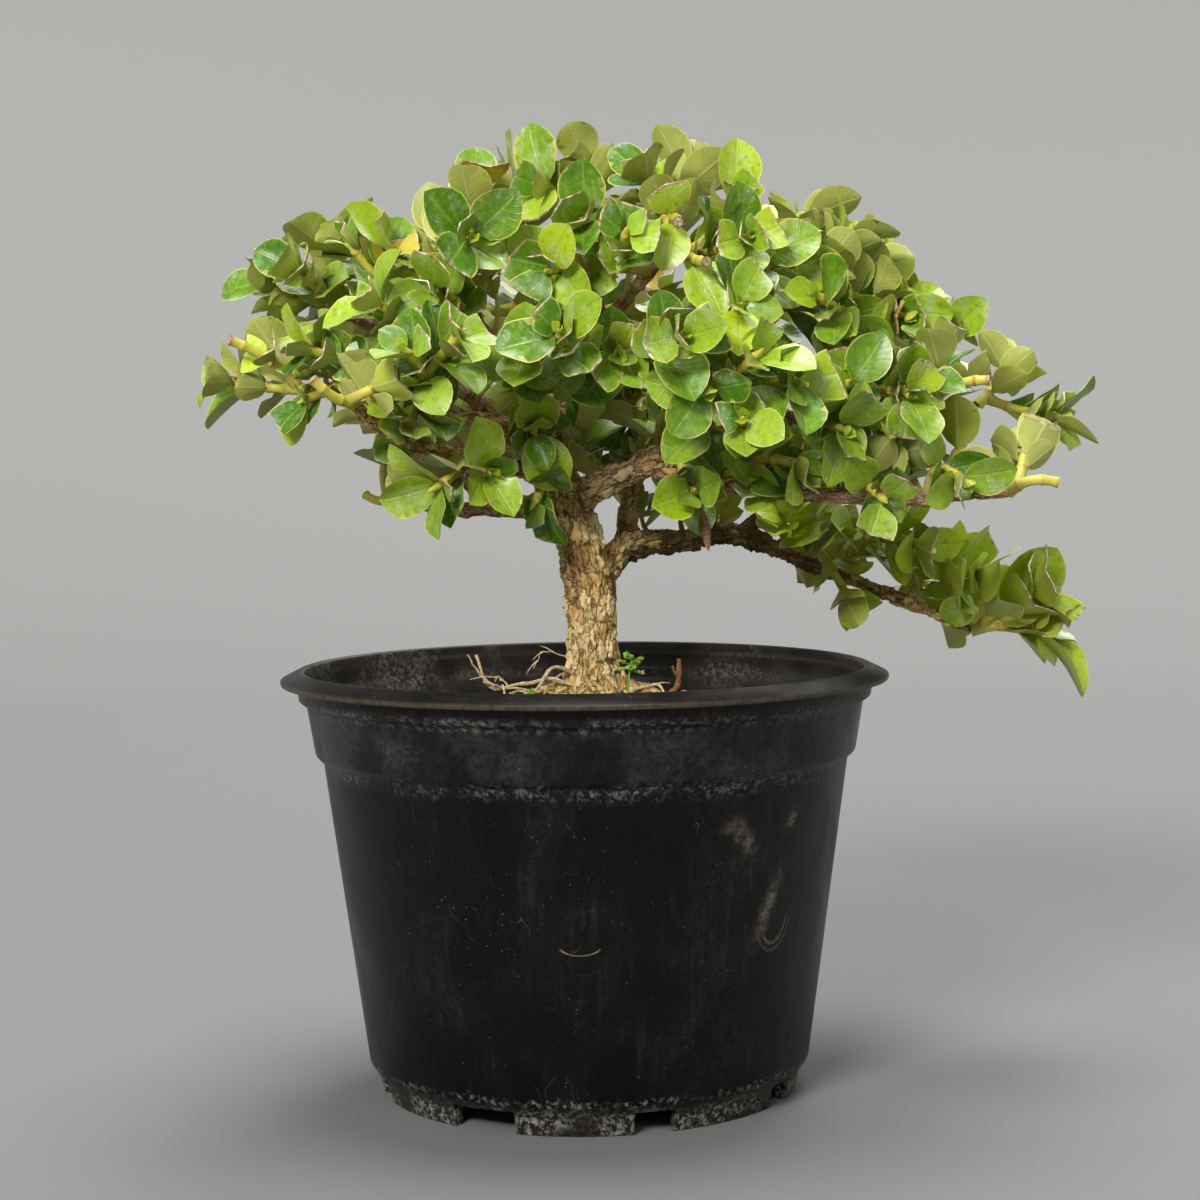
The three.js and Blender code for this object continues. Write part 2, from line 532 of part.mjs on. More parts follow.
// Ways to turn, lean and shrink a leaf until it is clear of the others.
const TRIALS = [
  [0, 0, 1], [0.35, 0, 1], [-0.35, 0, 1], [0, -0.3, 1], [0, 0.3, 1], [0.7, 0, 1], [-0.7, 0, 1],
  [0.35, -0.3, 0.9], [-0.35, -0.3, 0.9], [0.35, 0.3, 0.9], [-0.35, 0.3, 0.9], [0, 0, 0.8], [0.7, -0.2, 0.8],
  [-0.7, -0.2, 0.8], [1, 0.1, 0.8], [-1, 0.1, 0.8], [0, 0.5, 0.75], [0, -0.5, 0.75],
];

function isClear(leaf, shoot, stems, placed) {
  const centre = leaf.samples[MIDDLE_SAMPLE];
  for (const stem of stems) {
    const own = stem.shoot === shoot.id || (stem.owner === shoot.twig && stem.share < 0.3);
    const far = stem.reach + LEAF_REACH + CLEARANCE;
    if (own || centre.distanceTo(stem.at) > far + LEAF_SPREAD / 2) {
      continue;
    }
    if (leaf.samples.some((point) => point.distanceTo(stem.at) < far)) {
      return false;
    }
  }
  return placed.every((other) => {
    const apart = centre.distanceTo(other.samples[MIDDLE_SAMPLE]) > LEAF_SPREAD;
    return apart || !leaf.samples.some((a) => other.samples.some((b) => a.distanceTo(b) < 2 * LEAF_REACH));
  });
}

// One leaf of an opposite pair, on one of the four faces of a node.
function growLeaf(shoot, frame, face, top, draws, stems, placed) {
  const [sizeDraw, leanDraw, cutDraw, slantDraw, foldDraw] = draws;
  const sheared = top && cutDraw < SHEARED_SHARE;
  const out = faceOut(frame, face);
  const beside = frame.tangent.clone().cross(out);
  const base = faceCentre(frame, out, shoot.radius);
  for (const [turn, tilt, scale] of TRIALS) {
    const lean = LEAN + 0.3 * (leanDraw - 0.5) + tilt;
    const away = out.clone().multiplyScalar(Math.cos(shoot.twist + turn));
    away.addScaledVector(beside, Math.sin(shoot.twist + turn));
    const direction = frame.tangent.clone().multiplyScalar(Math.cos(lean));
    direction.addScaledVector(away, Math.sin(lean));
    const normal = frame.tangent.clone().multiplyScalar(Math.sin(lean)).addScaledVector(away, -Math.cos(lean));
    const length = shoot.leafLength * (0.85 + 0.3 * sizeDraw) * scale;
    const leaf = {
      base, direction, normal, length, face, blade: shoot.blade, twig: shoot.twig,
      side: normal.clone().cross(direction),
      width: length * (LEAF_WIDTH_SHARE + 0.12 * (foldDraw - 0.5)),
      fold: 0.18 + 0.3 * foldDraw,
      droop: 0.04 + 0.14 * leanDraw,
      cut: sheared ? 0.55 + 0.25 * slantDraw : 1,
      slant: sheared ? 0.3 * (slantDraw - 0.5) : 0,
    };
    leaf.samples = leafSamples(leaf);
    if (isClear(leaf, shoot, stems, placed)) {
      return leaf;
    }
  }
  return null;
}

function layOutLeaves({ stems, shoots }) {
  const random = randomFrom(SEED);
  const placed = [];
  shoots.forEach((shoot) => {
    addNodes(shoot);
    shoot.twist = random() - 0.5;
    for (let pair = 0; pair < shoot.pairs; pair += 1) {
      const frame = pair < shoot.nodes ? shoot.frames[shoot.frames.length - 2 - pair] : null;
      for (let half = 0; half < 2; half += 1) {
        const draws = [random(), random(), random(), random(), random()];
        if (frame) {
          const leaf = growLeaf(shoot, frame, (pair % 2) + 2 * half, pair === 0, draws, stems, placed);
          if (leaf) {
            frame.leaves.push(leaf);
            placed.push(leaf);
          }
        }
      }
    }
  });
  return placed;
}

// Adds a blade to a shoot's surface in place of one face of a node.
// A whole blade has seven corners past its root and a sheared one has five, on an upper and a
// lower face, folded along the midrib.
const WHOLE_ROWS = [0.34, 0.66, 0.9];
const SHEARED_ROWS = [0.5, 1];

function addBlade(points, faces, [a, b, c, d], leaf) {
  const rows = leaf.cut < 1 ? SHEARED_ROWS : WHOLE_ROWS;
  const edge = (u) => rows.map((row) => leafPoint(leaf, cutShare(leaf, u) * row, u));
  const corners = [...edge(1), leafPoint(leaf, cutShare(leaf, 0), 0), ...edge(-1).reverse()];
  const first = points.length;
  const half = leaf.blade / 2;
  corners.forEach((corner) => points.push(along(corner, leaf.normal, half)));
  corners.forEach((corner) => points.push(along(corner, leaf.normal, -half)));
  const count = corners.length;
  const upper = [c, ...corners.map((_, i) => first + i), d];
  const lower = [b, ...corners.map((_, i) => first + count + i), a];
  const tip = (count + 1) / 2;
  for (let i = 0; i <= count; i += 1) {
    faces.push(lower[i], upper[i], upper[i + 1], lower[i], upper[i + 1], lower[i + 1]);
    if (i !== tip && i + 1 !== tip) {
      faces.push(upper[i], upper[tip], upper[i + 1], lower[i], lower[i + 1], lower[tip]);
    }
  }
  faces.push(c, d, upper[tip], a, b, lower[tip]);
}

// Adds four corners round a frame, a distance along its tangent, and returns their numbers.
function addRing(points, frame, offset, radius) {
  const centre = along(frame.centre, frame.tangent, offset);
  return [0, 1, 2, 3].map((k) => {
    const angle = ((k - 0.5) * Math.PI) / 2;
    const point = along(centre, frame.side, radius * Math.cos(angle));
    return points.push(point.addScaledVector(frame.up, radius * Math.sin(angle))) - 1;
  });
}

// Adds a shoot's four-sided stem from its first ring up. At a node or a fork a leaf or another
// shoot takes the place of a face, so that the whole twig is one closed surface.
function addShoot(points, faces, shoot, firstRing) {
  let below = firstRing;
  shoot.frames.slice(1).forEach((frame) => {
    frame.offsets.forEach((offset) => {
      const above = addRing(points, frame, offset, shoot.radius);
      below.forEach((a, k) => {
        const next = (k + 1) % 4;
        const corners = [a, below[next], above[next], above[k]];
        const leaf = offset > 0 && frame.leaves.find(({ face }) => face === k);
        const fork = offset > 0 && frame.forks.find(({ face }) => face === k);
        if (leaf) {
          addBlade(points, faces, corners, leaf);
        } else if (fork) {
          addShoot(points, faces, fork.shoot, corners);
        } else {
          faces.push(corners[0], corners[1], corners[2], corners[0], corners[2], corners[3]);
        }
      });
      below = above;
    });
  });
  faces.push(below[0], below[1], below[2], below[0], below[2], below[3]);
}

function twigSolid(shoot, footRadius) {
  const points = [];
  const faces = [0, 3, 2, 0, 2, 1];
  addShoot(points, faces, shoot, addRing(points, shoot.frames[0], 0, footRadius));
  return closedSolid(points, faces);
}

// A weed seedling beside the trunk, standing in a plain hole in the soil.
const WEED = {
  foot: [11.5, -10, 103.2], tip: [13.5, -11.5, 117.5], radius: 0.6, pairs: 4, spacing: 2.6, leafLength: 4.2,
};

function weedShoot() {
  const foot = vec(...WEED.foot);
  const tip = vec(...WEED.tip);
  const knee = vec(WEED.foot[0], WEED.foot[1], WEED.tip[2] - 6);
  const curve = new THREE.QuadraticBezierCurve3(foot, knee, tip);
  const frame = frameAt(foot, vec(0, 0, 1), vec(1, 0, 0), [0]);
  const { radius, leafLength, spacing } = WEED;
  const shoot = shootOf(curve, [frame], 0, "weed", [0, 0, 0, WEED.pairs, 0.9]);
  return { ...shoot, radius, leafLength, spacing, blade: 0.6 };
}

function weedHole() {
  const foot = vec(...WEED.foot);
  const radius = WEED.radius + CLEARANCE;
  return rod([along(foot, vec(0, 0, 1), -CLEARANCE), along(foot, vec(0, 0, 1), 5)], () => radius, 6);
}

// Assembly
const layout = layOutShoots();
const leaves = layOutLeaves(layout);
const seedling = { stems: [], shoots: [weedShoot()] };
layOutLeaves(seedling);

function makeTree() {
  const pieces = [trunk(0), ...ROOTS.map((root) => rootRod(root, 0)), ...Object.keys(BRANCHES).map(branchRod)];
  return fuse(pieces);
}

function makeTwig(twig) {
  return twigSolid(layout.shoots.find((shoot) => shoot.twig === twig), FOOT_RADIUS);
}

const plant = new THREE.Group();
plant.add(toMesh(makePot(), "pot", plastic));
const rooted = fuse([trunk(CLEARANCE), weedHole(), ...ROOTS.map((root) => rootRod(root, CLEARANCE))]);
plant.add(toMesh(makeSoil(rooted), "soil", earth));
plant.add(toMesh(makeTree(), "tree", bark));
plant.add(toMesh(twigSolid(seedling.shoots[0], WEED.radius), "weed_seedling", weed));
TWIGS.forEach(([branchName], twig) => {
  const name = `twig_${String(twig + 1).padStart(2, "0")}_${branchName.toLowerCase()}`;
  plant.add(toMesh(makeTwig(twig), name, foliage));
});

const box = new THREE.Box3().setFromObject(plant);
plant.position.set(-(box.min.x + box.max.x) / 2, -(box.min.y + box.max.y) / 2, -box.min.z);

const bonsai = new THREE.Group();
bonsai.add(plant);
export default bonsai;
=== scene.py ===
import functools
import itertools
import math

import bpy
import numpy as np
from mathutils import Matrix, Vector


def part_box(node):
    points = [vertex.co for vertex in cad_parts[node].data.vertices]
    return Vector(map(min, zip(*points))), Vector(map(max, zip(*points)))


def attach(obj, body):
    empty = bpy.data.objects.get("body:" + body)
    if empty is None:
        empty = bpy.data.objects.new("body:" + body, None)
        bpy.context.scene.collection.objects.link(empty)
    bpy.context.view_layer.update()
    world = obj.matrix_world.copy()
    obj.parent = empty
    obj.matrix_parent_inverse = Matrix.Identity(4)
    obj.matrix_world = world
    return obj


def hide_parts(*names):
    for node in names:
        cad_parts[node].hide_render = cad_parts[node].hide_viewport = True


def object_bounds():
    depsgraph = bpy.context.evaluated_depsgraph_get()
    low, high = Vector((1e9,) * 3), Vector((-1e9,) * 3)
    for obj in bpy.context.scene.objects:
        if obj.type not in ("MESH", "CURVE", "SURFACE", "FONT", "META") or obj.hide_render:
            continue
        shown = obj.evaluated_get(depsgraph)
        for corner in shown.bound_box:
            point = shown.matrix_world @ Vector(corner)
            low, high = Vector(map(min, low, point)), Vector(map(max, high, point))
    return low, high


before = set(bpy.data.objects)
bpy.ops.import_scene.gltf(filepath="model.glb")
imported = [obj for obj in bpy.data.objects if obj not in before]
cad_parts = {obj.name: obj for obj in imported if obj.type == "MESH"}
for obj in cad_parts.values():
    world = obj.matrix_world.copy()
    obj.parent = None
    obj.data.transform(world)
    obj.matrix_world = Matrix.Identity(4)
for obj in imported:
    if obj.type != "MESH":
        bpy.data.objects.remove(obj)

CAD_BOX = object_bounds()

# Driving sizes, as in the CAD
RIM_RADIUS = 82.5
POT_HEIGHT = 115
WALL = 1.6
FOOT_HEIGHT = 5.6
FOOT_COUNT = 8
CLEARANCE = 0.3
SOIL_AT_WALL = 94
SOIL_AT_TRUNK = 107
TRUNK_RADIUS = 6.8
TRUNK_FOOT = 91
TRUNK_TOP = 164
SHOOT_RADIUS = 1.5
FOOT_RADIUS = 1.9
NODE_HALF = 0.8
NODE_SPACING = 7.5
FORK_HEIGHT = 2.4
KNEE = 0.45
ROOM = 1.2
FIRST_RING = 3.2
LEAF_LENGTH = 14.5
LEAF_WIDTH_SHARE = 0.8
LEAN = 0.95
SHEARED_SHARE = 0.4
SEED = 20
BUD = 1.5

# Branches of the tree: centre line points, and the radius at the foot and at the end
BRANCHES = {
    "leader": {"points": [[-2, 0, 154], [-5, 1, 165], [-7, 3, 173], [-4, 3, 181], [1, 1, 188], [2, -3, 196],
      [5, -8, 206]], "radii": [4.6, 2.3]},
    "rightFork": {"points": [[-3, 0, 159], [7, -5, 165], [18, -12, 170], [28, -20, 174], [38, -28, 177]],
      "radii": [4.2, 2.5]},
    "longRight": {"points": [[17, -11, 169], [27, -17, 165], [42, -25, 163], [64, -34, 161], [84, -41, 160],
      [108, -47, 162]], "radii": [2.6, 1.7]},
    "upperRight": {"points": [[38, -28, 177], [54, -22, 181], [70, -28, 183], [90, -35, 185]],
      "radii": [2.4, 1.6]},
    "lowRight": {"points": [[2, 1, 137], [12, 14, 146], [26, 29, 147], [44, 38, 148], [62, 34, 141],
      [82, 26, 133], [108, 15, 122]], "radii": [4.6, 1.6]},
    "rearRise": {"points": [[12, 15, 146], [13, 23, 158], [16, 32, 170], [21, 39, 184], [25, 43, 197]],
      "radii": [3.4, 1.9]},
    "rearRight": {"points": [[44, 38, 148], [60, 45, 160], [80, 46, 172], [98, 42, 181], [113, 36, 185]],
      "radii": [2.6, 1.6]},
    "rearMiddle": {"points": [[16, 32, 170], [11, 48, 176], [1, 62, 182]], "radii": [2.4, 1.8]},
    "rearOuter": {"points": [[17, 34, 174], [30, 50, 186], [42, 60, 195]], "radii": [2.4, 1.8]},
    "frontLeft": {"points": [[-5, 0, 164], [-18, -13, 170], [-38, -29, 173], [-51, -42, 180],
      [-57, -49, 186]], "radii": [3.2, 1.8]},
    "rearLeft": {"points": [[-3, 2, 158], [-22, 20, 157], [-40, 32, 157], [-53, 40, 160]],
      "radii": [2.8, 1.8]},
    "rearLeftRise": {"points": [[-26, 22, 157], [-36, 42, 167], [-47, 55, 177]], "radii": [2.2, 1.7]},
    "left": {"points": [[-7, 3, 175], [-22, -4, 180], [-40, -10, 185], [-58, -16, 189], [-72, -19, 190]],
      "radii": [3.2, 1.9]},
    "upperLeft": {"points": [[-22, -4, 180], [-36, 4, 194], [-52, 6, 205], [-64, 2, 211]],
      "radii": [2.5, 1.8]},
    "crownLeft": {"points": [[-4, 3, 181], [-14, -6, 192], [-26, -15, 206], [-32, -20, 220]],
      "radii": [2.4, 1.7]},
    "crown": {"points": [[5, -8, 206], [4, -11, 220], [3, -4, 234]], "radii": [2.2, 1.7]},
    "crownRight": {"points": [[5, -8, 206], [15, -19, 216], [24, -28, 227]], "radii": [2.1, 1.7]},
    "crownRear": {"points": [[-5, 3, 180], [-5, 19, 198], [-3, 32, 214]], "radii": [2.6, 1.8]},
    "right": {"points": [[2, -3, 196], [20, -13, 203], [40, -21, 208], [58, -14, 211], [76, -4, 206],
      [94, 6, 203]], "radii": [2.4, 1.6]},
}

# Leafy twigs: branch, share of its length, and each shoot as x, y, z of its end, leaf pairs, the bare
# length past the last pair where it isn't a bud's, and its leaves' size where they aren't full size
TWIGS = [
    ["left", 1, [[-98, -20, 194, 1, 2, 0.5], [-91, -27, 203, 1, 12], [-84, -6, 201, 2]]],
    ["left", 0.8, [[-71, -33, 200, 2], [-72, -30, 187, 1, BUD, 0.8]]],
    ["left", 0.5, [[-50, -26, 193, 2], [-46, -2, 172, 1]]],
    ["upperLeft", 1, [[-86, 0, 220, 2], [-75, -12, 222, 1], [-69, 10, 229, 2]]],
    ["upperLeft", 0.72, [[-61, -8, 228, 2], [-49, -16, 227, 2]]],
    ["upperLeft", 0.5, [[-40, 14, 226, 2], [-57, 28, 208, 2]]],
    ["frontLeft", 1, [[-66, -60, 192, 1, 12], [-50, -55, 190, 1]]],
    ["frontLeft", 0.62, [[-43, -62, 199, 2], [-29, -58, 203, 2]]],
    ["frontLeft", 0.45, [[-38, -42, 164, 1], [-24, -36, 168, 1]]],
    ["frontLeft", 0.2, [[-13, -22, 159, 1]]],
    ["crownLeft", 1, [[-27, -42, 228, 2], [-27, -18, 242, 2], [-37, -8, 230, 1]]],
    ["crownLeft", 0.72, [[-52, -42, 212, 2], [-37, -46, 214, 1]]],
    ["crownLeft", 0.42, [[-14, -44, 199, 2], [-12, -26, 178, 1]]],
    ["crown", 1, [[3, 0, 250, 2], [-9, -22, 242, 2], [-18, 2, 245, 1]]],
    ["crown", 0.5, [[-8, -43, 219, 2], [1, -38, 232, 1]]],
    ["leader", 0.9, [[-5, -58, 203, 1], [10, -48, 198, 1]]],
    ["crownRight", 1, [[25, -52, 230, 1, 7], [32, -54, 220, 1, 9], [17, -30, 243, 1]]],
    ["crownRight", 0.7, [[12, -52, 228, 1]]],
    ["crownRight", 0.9, [[41, -36, 238, 2], [29, -8, 247, 2], [42, -54, 226, 1]]],
    ["right", 0.22, [[25, -70, 201, 2], [32, -62, 188, 1]]],
    ["right", 0.42, [[47, -46, 221, 2], [55, -24, 230, 2], [40, -60, 209, 1]]],
    ["right", 0.6, [[60, -2, 235, 1], [71, -12, 229, 2], [82, 4, 222, 1]]],
    ["right", 0.7, [[60, -44, 212, 2], [68, -30, 203, 1]]],
    ["right", 0.85, [[86, -14, 208, 2], [83, 30, 203, 1]]],
    ["right", 1, [[110, 11, 207, 1, 11], [99, -3, 204, 1]]],
    ["rightFork", 0.95, [[44, -68, 197, 2], [40, -66, 181, 1], [54, -62, 190, 1]]],
    ["rightFork", 0.72, [[29, -38, 163, 1]]],
    ["upperRight", 0.5, [[66, -50, 178, 1], [68, -48, 190, 1]]],
    ["upperRight", 0.72, [[76, -18, 196, 2], [83, -54, 186, 1]]],
    ["upperRight", 1, [[104, -42, 190, 1, 13], [93, -34, 199, 1]]],
    ["longRight", 0.45, [[56, -46, 169, 1], [46, -14, 172, 1]]],
    ["longRight", 0.66, [[80, -32, 172, 1], [76, -54, 160, 1]]],
    ["longRight", 0.84, [[95, -58, 165, 1], [100, -26, 176, 2, 8]]],
    ["longRight", 1, [[120, -50, 164, 1, 13], [114, -34, 172, 1]]],
    ["rearRight", 1, [[122, 42, 195, 1], [135, 28, 181, 2]]],
    ["rearRight", 0.72, [[92, 60, 190, 2], [90, 28, 190, 1]]],
    ["rearRight", 0.42, [[66, 62, 176, 2], [72, 24, 170, 1]]],
    ["lowRight", 1, [[125, 11, 123, 1], [124, 5, 133, 1]]],
    ["lowRight", 0.88, [[110, 10, 137, 1], [104, 30, 131, 1]]],
    ["lowRight", 0.76, [[93, 8, 146, 2], [84, 34, 148, 1]]],
    ["lowRight", 0.62, [[74, 20, 131, 1], [56, 20, 156, 1], [70, 52, 146, 1]]],
    ["rearRise", 1, [[24, 36, 218, 2], [38, 40, 214, 1], [10, 56, 210, 2]]],
    ["rearRise", 0.55, [[36, 26, 186, 1], [-2, 38, 182, 1]]],
    ["rearRise", 0.78, [[6, 26, 186, 2], [17, 22, 180, 1]]],
    ["rearMiddle", 1, [[-6, 80, 188, 2], [8, 80, 196, 1], [-12, 62, 200, 2]]],
    ["rearMiddle", 0.5, [[24, 66, 174, 2]]],
    ["rearOuter", 1, [[54, 72, 200, 2], [38, 78, 206, 1], [58, 54, 212, 2]]],
    ["rearLeft", 1, [[-63, 44, 161, 0, 3], [-50, 28, 178, 1], [-50, 48, 184, 1]]],
    ["rearLeftRise", 1, [[-60, 66, 184, 2], [-45, 74, 190, 1], [-60, 46, 193, 1]]],
    ["rearLeftRise", 0.5, [[-30, 64, 182, 2], [-38, 30, 188, 1]]],
    ["crownRear", 1, [[6, 30, 236, 2], [-18, 30, 232, 2], [-30, 46, 212, 1]]],
    ["crownRear", 0.6, [[-28, 24, 204, 1], [14, 14, 214, 1]]],
]

# Surface roots
ROOTS = [
    {"points": [[3, 0, 112], [-6, -5, 108], [-15, -9, 106.5], [-22, -12, 104]], "radii": [3.6, 0.9]},
    {"points": [[3, 0, 113], [2, -8, 108], [1, -17, 105.5], [-2, -25, 103]], "radii": [3.8, 0.9]},
    {"points": [[3, 0, 113], [11, -3, 109], [18, -6, 107.5], [25, -10, 104.5]], "radii": [3.4, 1]},
    {"points": [[3, 0, 112], [8, 8, 108], [12, 17, 106], [14, 26, 103]], "radii": [3.6, 0.9]},
    {"points": [[3, 0, 112], [-5, 7, 108], [-12, 14, 106], [-20, 20, 103.5]], "radii": [3.2, 0.9]},
    {"points": [[-2, -6, 109.5], [-9, -9, 112], [-16, -10, 111], [-25, -14, 110.5], [-29, -12, 119]],
      "radii": [0.9, 0.6]},
    {"points": [[-2, -3, 112], [-8, -8, 115], [-14, -14, 108.5], [-18, -20, 104.5]], "radii": [0.9, 0.7]},
    {"points": [[22, -8, 106.5], [25, -9, 110], [25.5, -9, 117]], "radii": [1, 0.6]},
]


# Vectors and curves
def vec(*numbers):
    return np.array(numbers, float)


def unit(v):
    return v / math.sqrt(v @ v)


def across(axis, angle):
    """A unit vector at right angles to an axis, turned by an angle round it."""
    helper = vec(0, 0, 1) if abs(axis[2]) < 0.9 else vec(1, 0, 0)
    first = unit(np.cross(helper, axis))
    second = np.cross(axis, first)
    return first * math.cos(angle) + second * math.sin(angle)


def carried(side, tangent):
    """A side vector carried along a stem to a new tangent without twisting."""
    return unit(side - tangent * (side @ tangent))


class Spline:
    """A smooth curve through points: the centre line of a branch or root."""

    def __init__(self, points):
        self.points = [vec(*p) for p in points]
        self.spans = len(points) - 1

    def at(self, share):
        run = self.spans * share
        i = math.floor(run)
        w = run - i
        if w == 0 and i == self.spans:
            i, w = self.spans - 1, 1.0
        p = self.points
        x1, x2 = p[i], p[i + 1]
        x0 = p[i - 1] if i > 0 else 2 * p[0] - p[1]
        x3 = p[i + 2] if i + 2 <= self.spans else 2 * p[-1] - p[-2]
        t0, t1 = 0.5 * (x2 - x0), 0.5 * (x3 - x1)
        return x1 + t0 * w + (-3 * x1 + 3 * x2 - 2 * t0 - t1) * w**2 + (2 * x1 - 2 * x2 + t0 + t1) * w**3

    def tangent(self, share):
        return unit(self.at(min(1, share + 1e-4)) - self.at(max(0, share - 1e-4)))


class Bow:
    """A shoot's centre line: a quadratic curve from its foot past its knee to its tip."""

    def __init__(self, foot, knee, tip):
        self.foot, self.knee, self.tip = foot, knee, tip
        self.length = math.dist(foot, tip)

    def at(self, share):
        k = 1 - share
        return self.foot * (k * k) + self.knee * (2 * k * share) + self.tip * (share * share)

    def tangent(self, share):
        return unit((self.knee - self.foot) * (1 - share) + (self.tip - self.knee) * share)


def draws_from(seed):
    """The CAD's own random numbers, from 0 to 1."""
    state = [seed]

    def draw():
        state[0] = (state[0] + 0x6D2B79F5) & 0xFFFFFFFF
        t = state[0]
        t = ((t ^ (t >> 15)) * (t | 1)) & 0xFFFFFFFF
        t ^= (t + ((t ^ (t >> 7)) * (t | 61))) & 0xFFFFFFFF
        return (t ^ (t >> 14)) / 4294967296

    return draw


# Layout of shoots and leaves, which gives every leaf the place it has in the CAD
SHOOT_STEPS = 8
SWAYS = [0, 0.18, 0.36]
LEAF_REACH = 1.25
LEAF_SPREAD = 20
MOST_LEAVES = 3000
SAMPLE_SHARES = np.repeat([0.2, 0.4, 0.6, 0.8, 1], 5)
SAMPLE_ACROSS = np.tile([-0.9, -0.45, 0, 0.45, 0.9], 5)
TRIALS = [
    [0, 0, 1], [0.35, 0, 1], [-0.35, 0, 1], [0, -0.3, 1], [0, 0.3, 1], [0.7, 0, 1], [-0.7, 0, 1],
    [0.35, -0.3, 0.9], [-0.35, -0.3, 0.9], [0.35, 0.3, 0.9], [-0.35, 0.3, 0.9], [0, 0, 0.8], [0.7, -0.2, 0.8],
    [-0.7, -0.2, 0.8], [1, 0.1, 0.8], [-1, 0.1, 0.8], [0, 0.5, 0.75], [0, -0.5, 0.75],
]


class Obstacles:
    """What leaves and shoots keep clear of: points on stems with a reach, and the leaves so far."""

    def __init__(self):
        self.stems = []
        self.leaves = np.empty((MOST_LEAVES, len(SAMPLE_SHARES), 3))
        self.count = 0
        self.table = None
        self.reach = LEAF_REACH

    def add_stem(self, at, reach, owner, shoot=-1, share=0.0):
        self.stems.append((*at, reach, owner, shoot, share))
        self.table = None

    def add_leaf(self, samples):
        self.leaves[self.count] = samples
        self.count += 1

    def columns(self):
        if self.table is None:
            self.table = np.array(self.stems).reshape(-1, 7)
        return self.table

    def room(self, curve, twig):
        table = self.columns()
        others = table[table[:, 4] != twig]
        points = np.array([curve.at(k / SHOOT_STEPS) for k in range(1, SHOOT_STEPS + 1)])
        apart = np.linalg.norm(points[:, None] - others[None, :, :3], axis=2)
        return float((apart - others[:, 3] - SHOOT_RADIUS).min())

    def clear_of(self, samples, shoot, twig):
        table = self.columns()
        if len(table):
            own = (table[:, 5] == shoot) | ((table[:, 4] == twig) & (table[:, 6] < 0.3))
            far = table[:, 3] + self.reach + CLEARANCE
            near = np.linalg.norm(table[:, :3] - samples[12], axis=1) <= far + LEAF_SPREAD / 2
            stems = table[~own & near]
            far = far[~own & near]
            if len(stems) and (np.linalg.norm(samples[:, None] - stems[None, :, :3], axis=2) < far).any():
                return False
        if self.count:
            placed = self.leaves[:self.count]
            near = placed[np.linalg.norm(placed[:, 12] - samples[12], axis=1) <= LEAF_SPREAD]
            if len(near):
                gaps = np.linalg.norm(samples[:, None] - near.reshape(1, -1, 3), axis=2)
                return not (gaps < 2 * self.reach).any()
        return True


class Frame:
    """A place on a stem: its centre, its tangent and two directions across it."""

    def __init__(self, centre, tangent, side):
        self.centre, self.tangent, self.side = centre, tangent, side
        self.up = np.cross(tangent, side)

    def out(self, face):
        angle = face * math.pi / 2
        return self.side * math.cos(angle) + self.up * math.sin(angle)


class Leaf:
    """One blade: where it stands, which way it looks and how it is bent and cut."""

    def __init__(self, frame_, out, radius, twist, turn, tilt, scale, full, draws, sheared):
        size, lean_draw, _, slant, fold = draws
        lean = LEAN + 0.3 * (lean_draw - 0.5) + tilt
        beside = np.cross(frame_.tangent, out)
        away = out * math.cos(twist + turn) + beside * math.sin(twist + turn)
        self.base = frame_.centre + out * (radius * math.sqrt(0.5))
        self.direction = frame_.tangent * math.cos(lean) + away * math.sin(lean)
        self.normal = frame_.tangent * math.sin(lean) - away * math.cos(lean)
        self.side = np.cross(self.normal, self.direction)
        self.length = full * (0.85 + 0.3 * size) * scale
        self.width = self.length * (LEAF_WIDTH_SHARE + 0.12 * (fold - 0.5))
        self.fold = 0.18 + 0.3 * fold
        self.droop = 0.04 + 0.14 * lean_draw
        self.cut = 0.55 + 0.25 * slant if sheared else 1
        self.slant = 0.3 * (slant - 0.5) if sheared else 0
        self.samples = self.points(SAMPLE_SHARES * self.cut_share(SAMPLE_ACROSS), SAMPLE_ACROSS)
        self.pair = 1

    def cut_share(self, u):
        return np.minimum(1, self.cut + self.slant * u)

    def half_width(self, s):
        rise = 2 * s**1.12 - 1
        return 0.5 * self.width * np.sqrt(np.maximum(0, 1 - rise * rise))

    def points(self, s, u, narrowing=1.0):
        half = self.half_width(s) * u * narrowing
        lift = np.abs(half) * math.sin(self.fold) - self.droop * self.length * s * s
        return (self.base + np.outer(self.length * s, self.direction)
                + np.outer(half * math.cos(self.fold), self.side) + np.outer(lift, self.normal))


def branch_radius(branch, share):
    thick, thin = branch["radii"]
    return thick + (thin - thick) * share


class Shoot:
    """A green shoot: its centre line, its frames from the foot up and its leaves."""

    def __init__(self, curve, frames, number, twig, ends, full=LEAF_LENGTH):
        self.curve, self.frames, self.number, self.twig = curve, frames, number, twig
        self.pairs = ends[3]
        self.bare = ends[4] if len(ends) > 4 else BUD
        self.full = full * (ends[5] if len(ends) > 5 else 1)
        self.radius, self.spacing = SHOOT_RADIUS, NODE_SPACING
        self.leaves = []
        self.node_shares = []

    def add_nodes(self):
        shares = [1.0]
        for pair in range(self.pairs):
            share = 1 - (self.bare + pair * self.spacing) / self.curve.length
            if share * self.curve.length > FIRST_RING + 2 * NODE_HALF:
                shares.insert(0, share)
        self.node_shares = shares[:-1]
        for share in shares:
            tangent = self.curve.tangent(share)
            self.frames.append(Frame(self.curve.at(share), tangent, carried(self.frames[-1].side, tangent)))


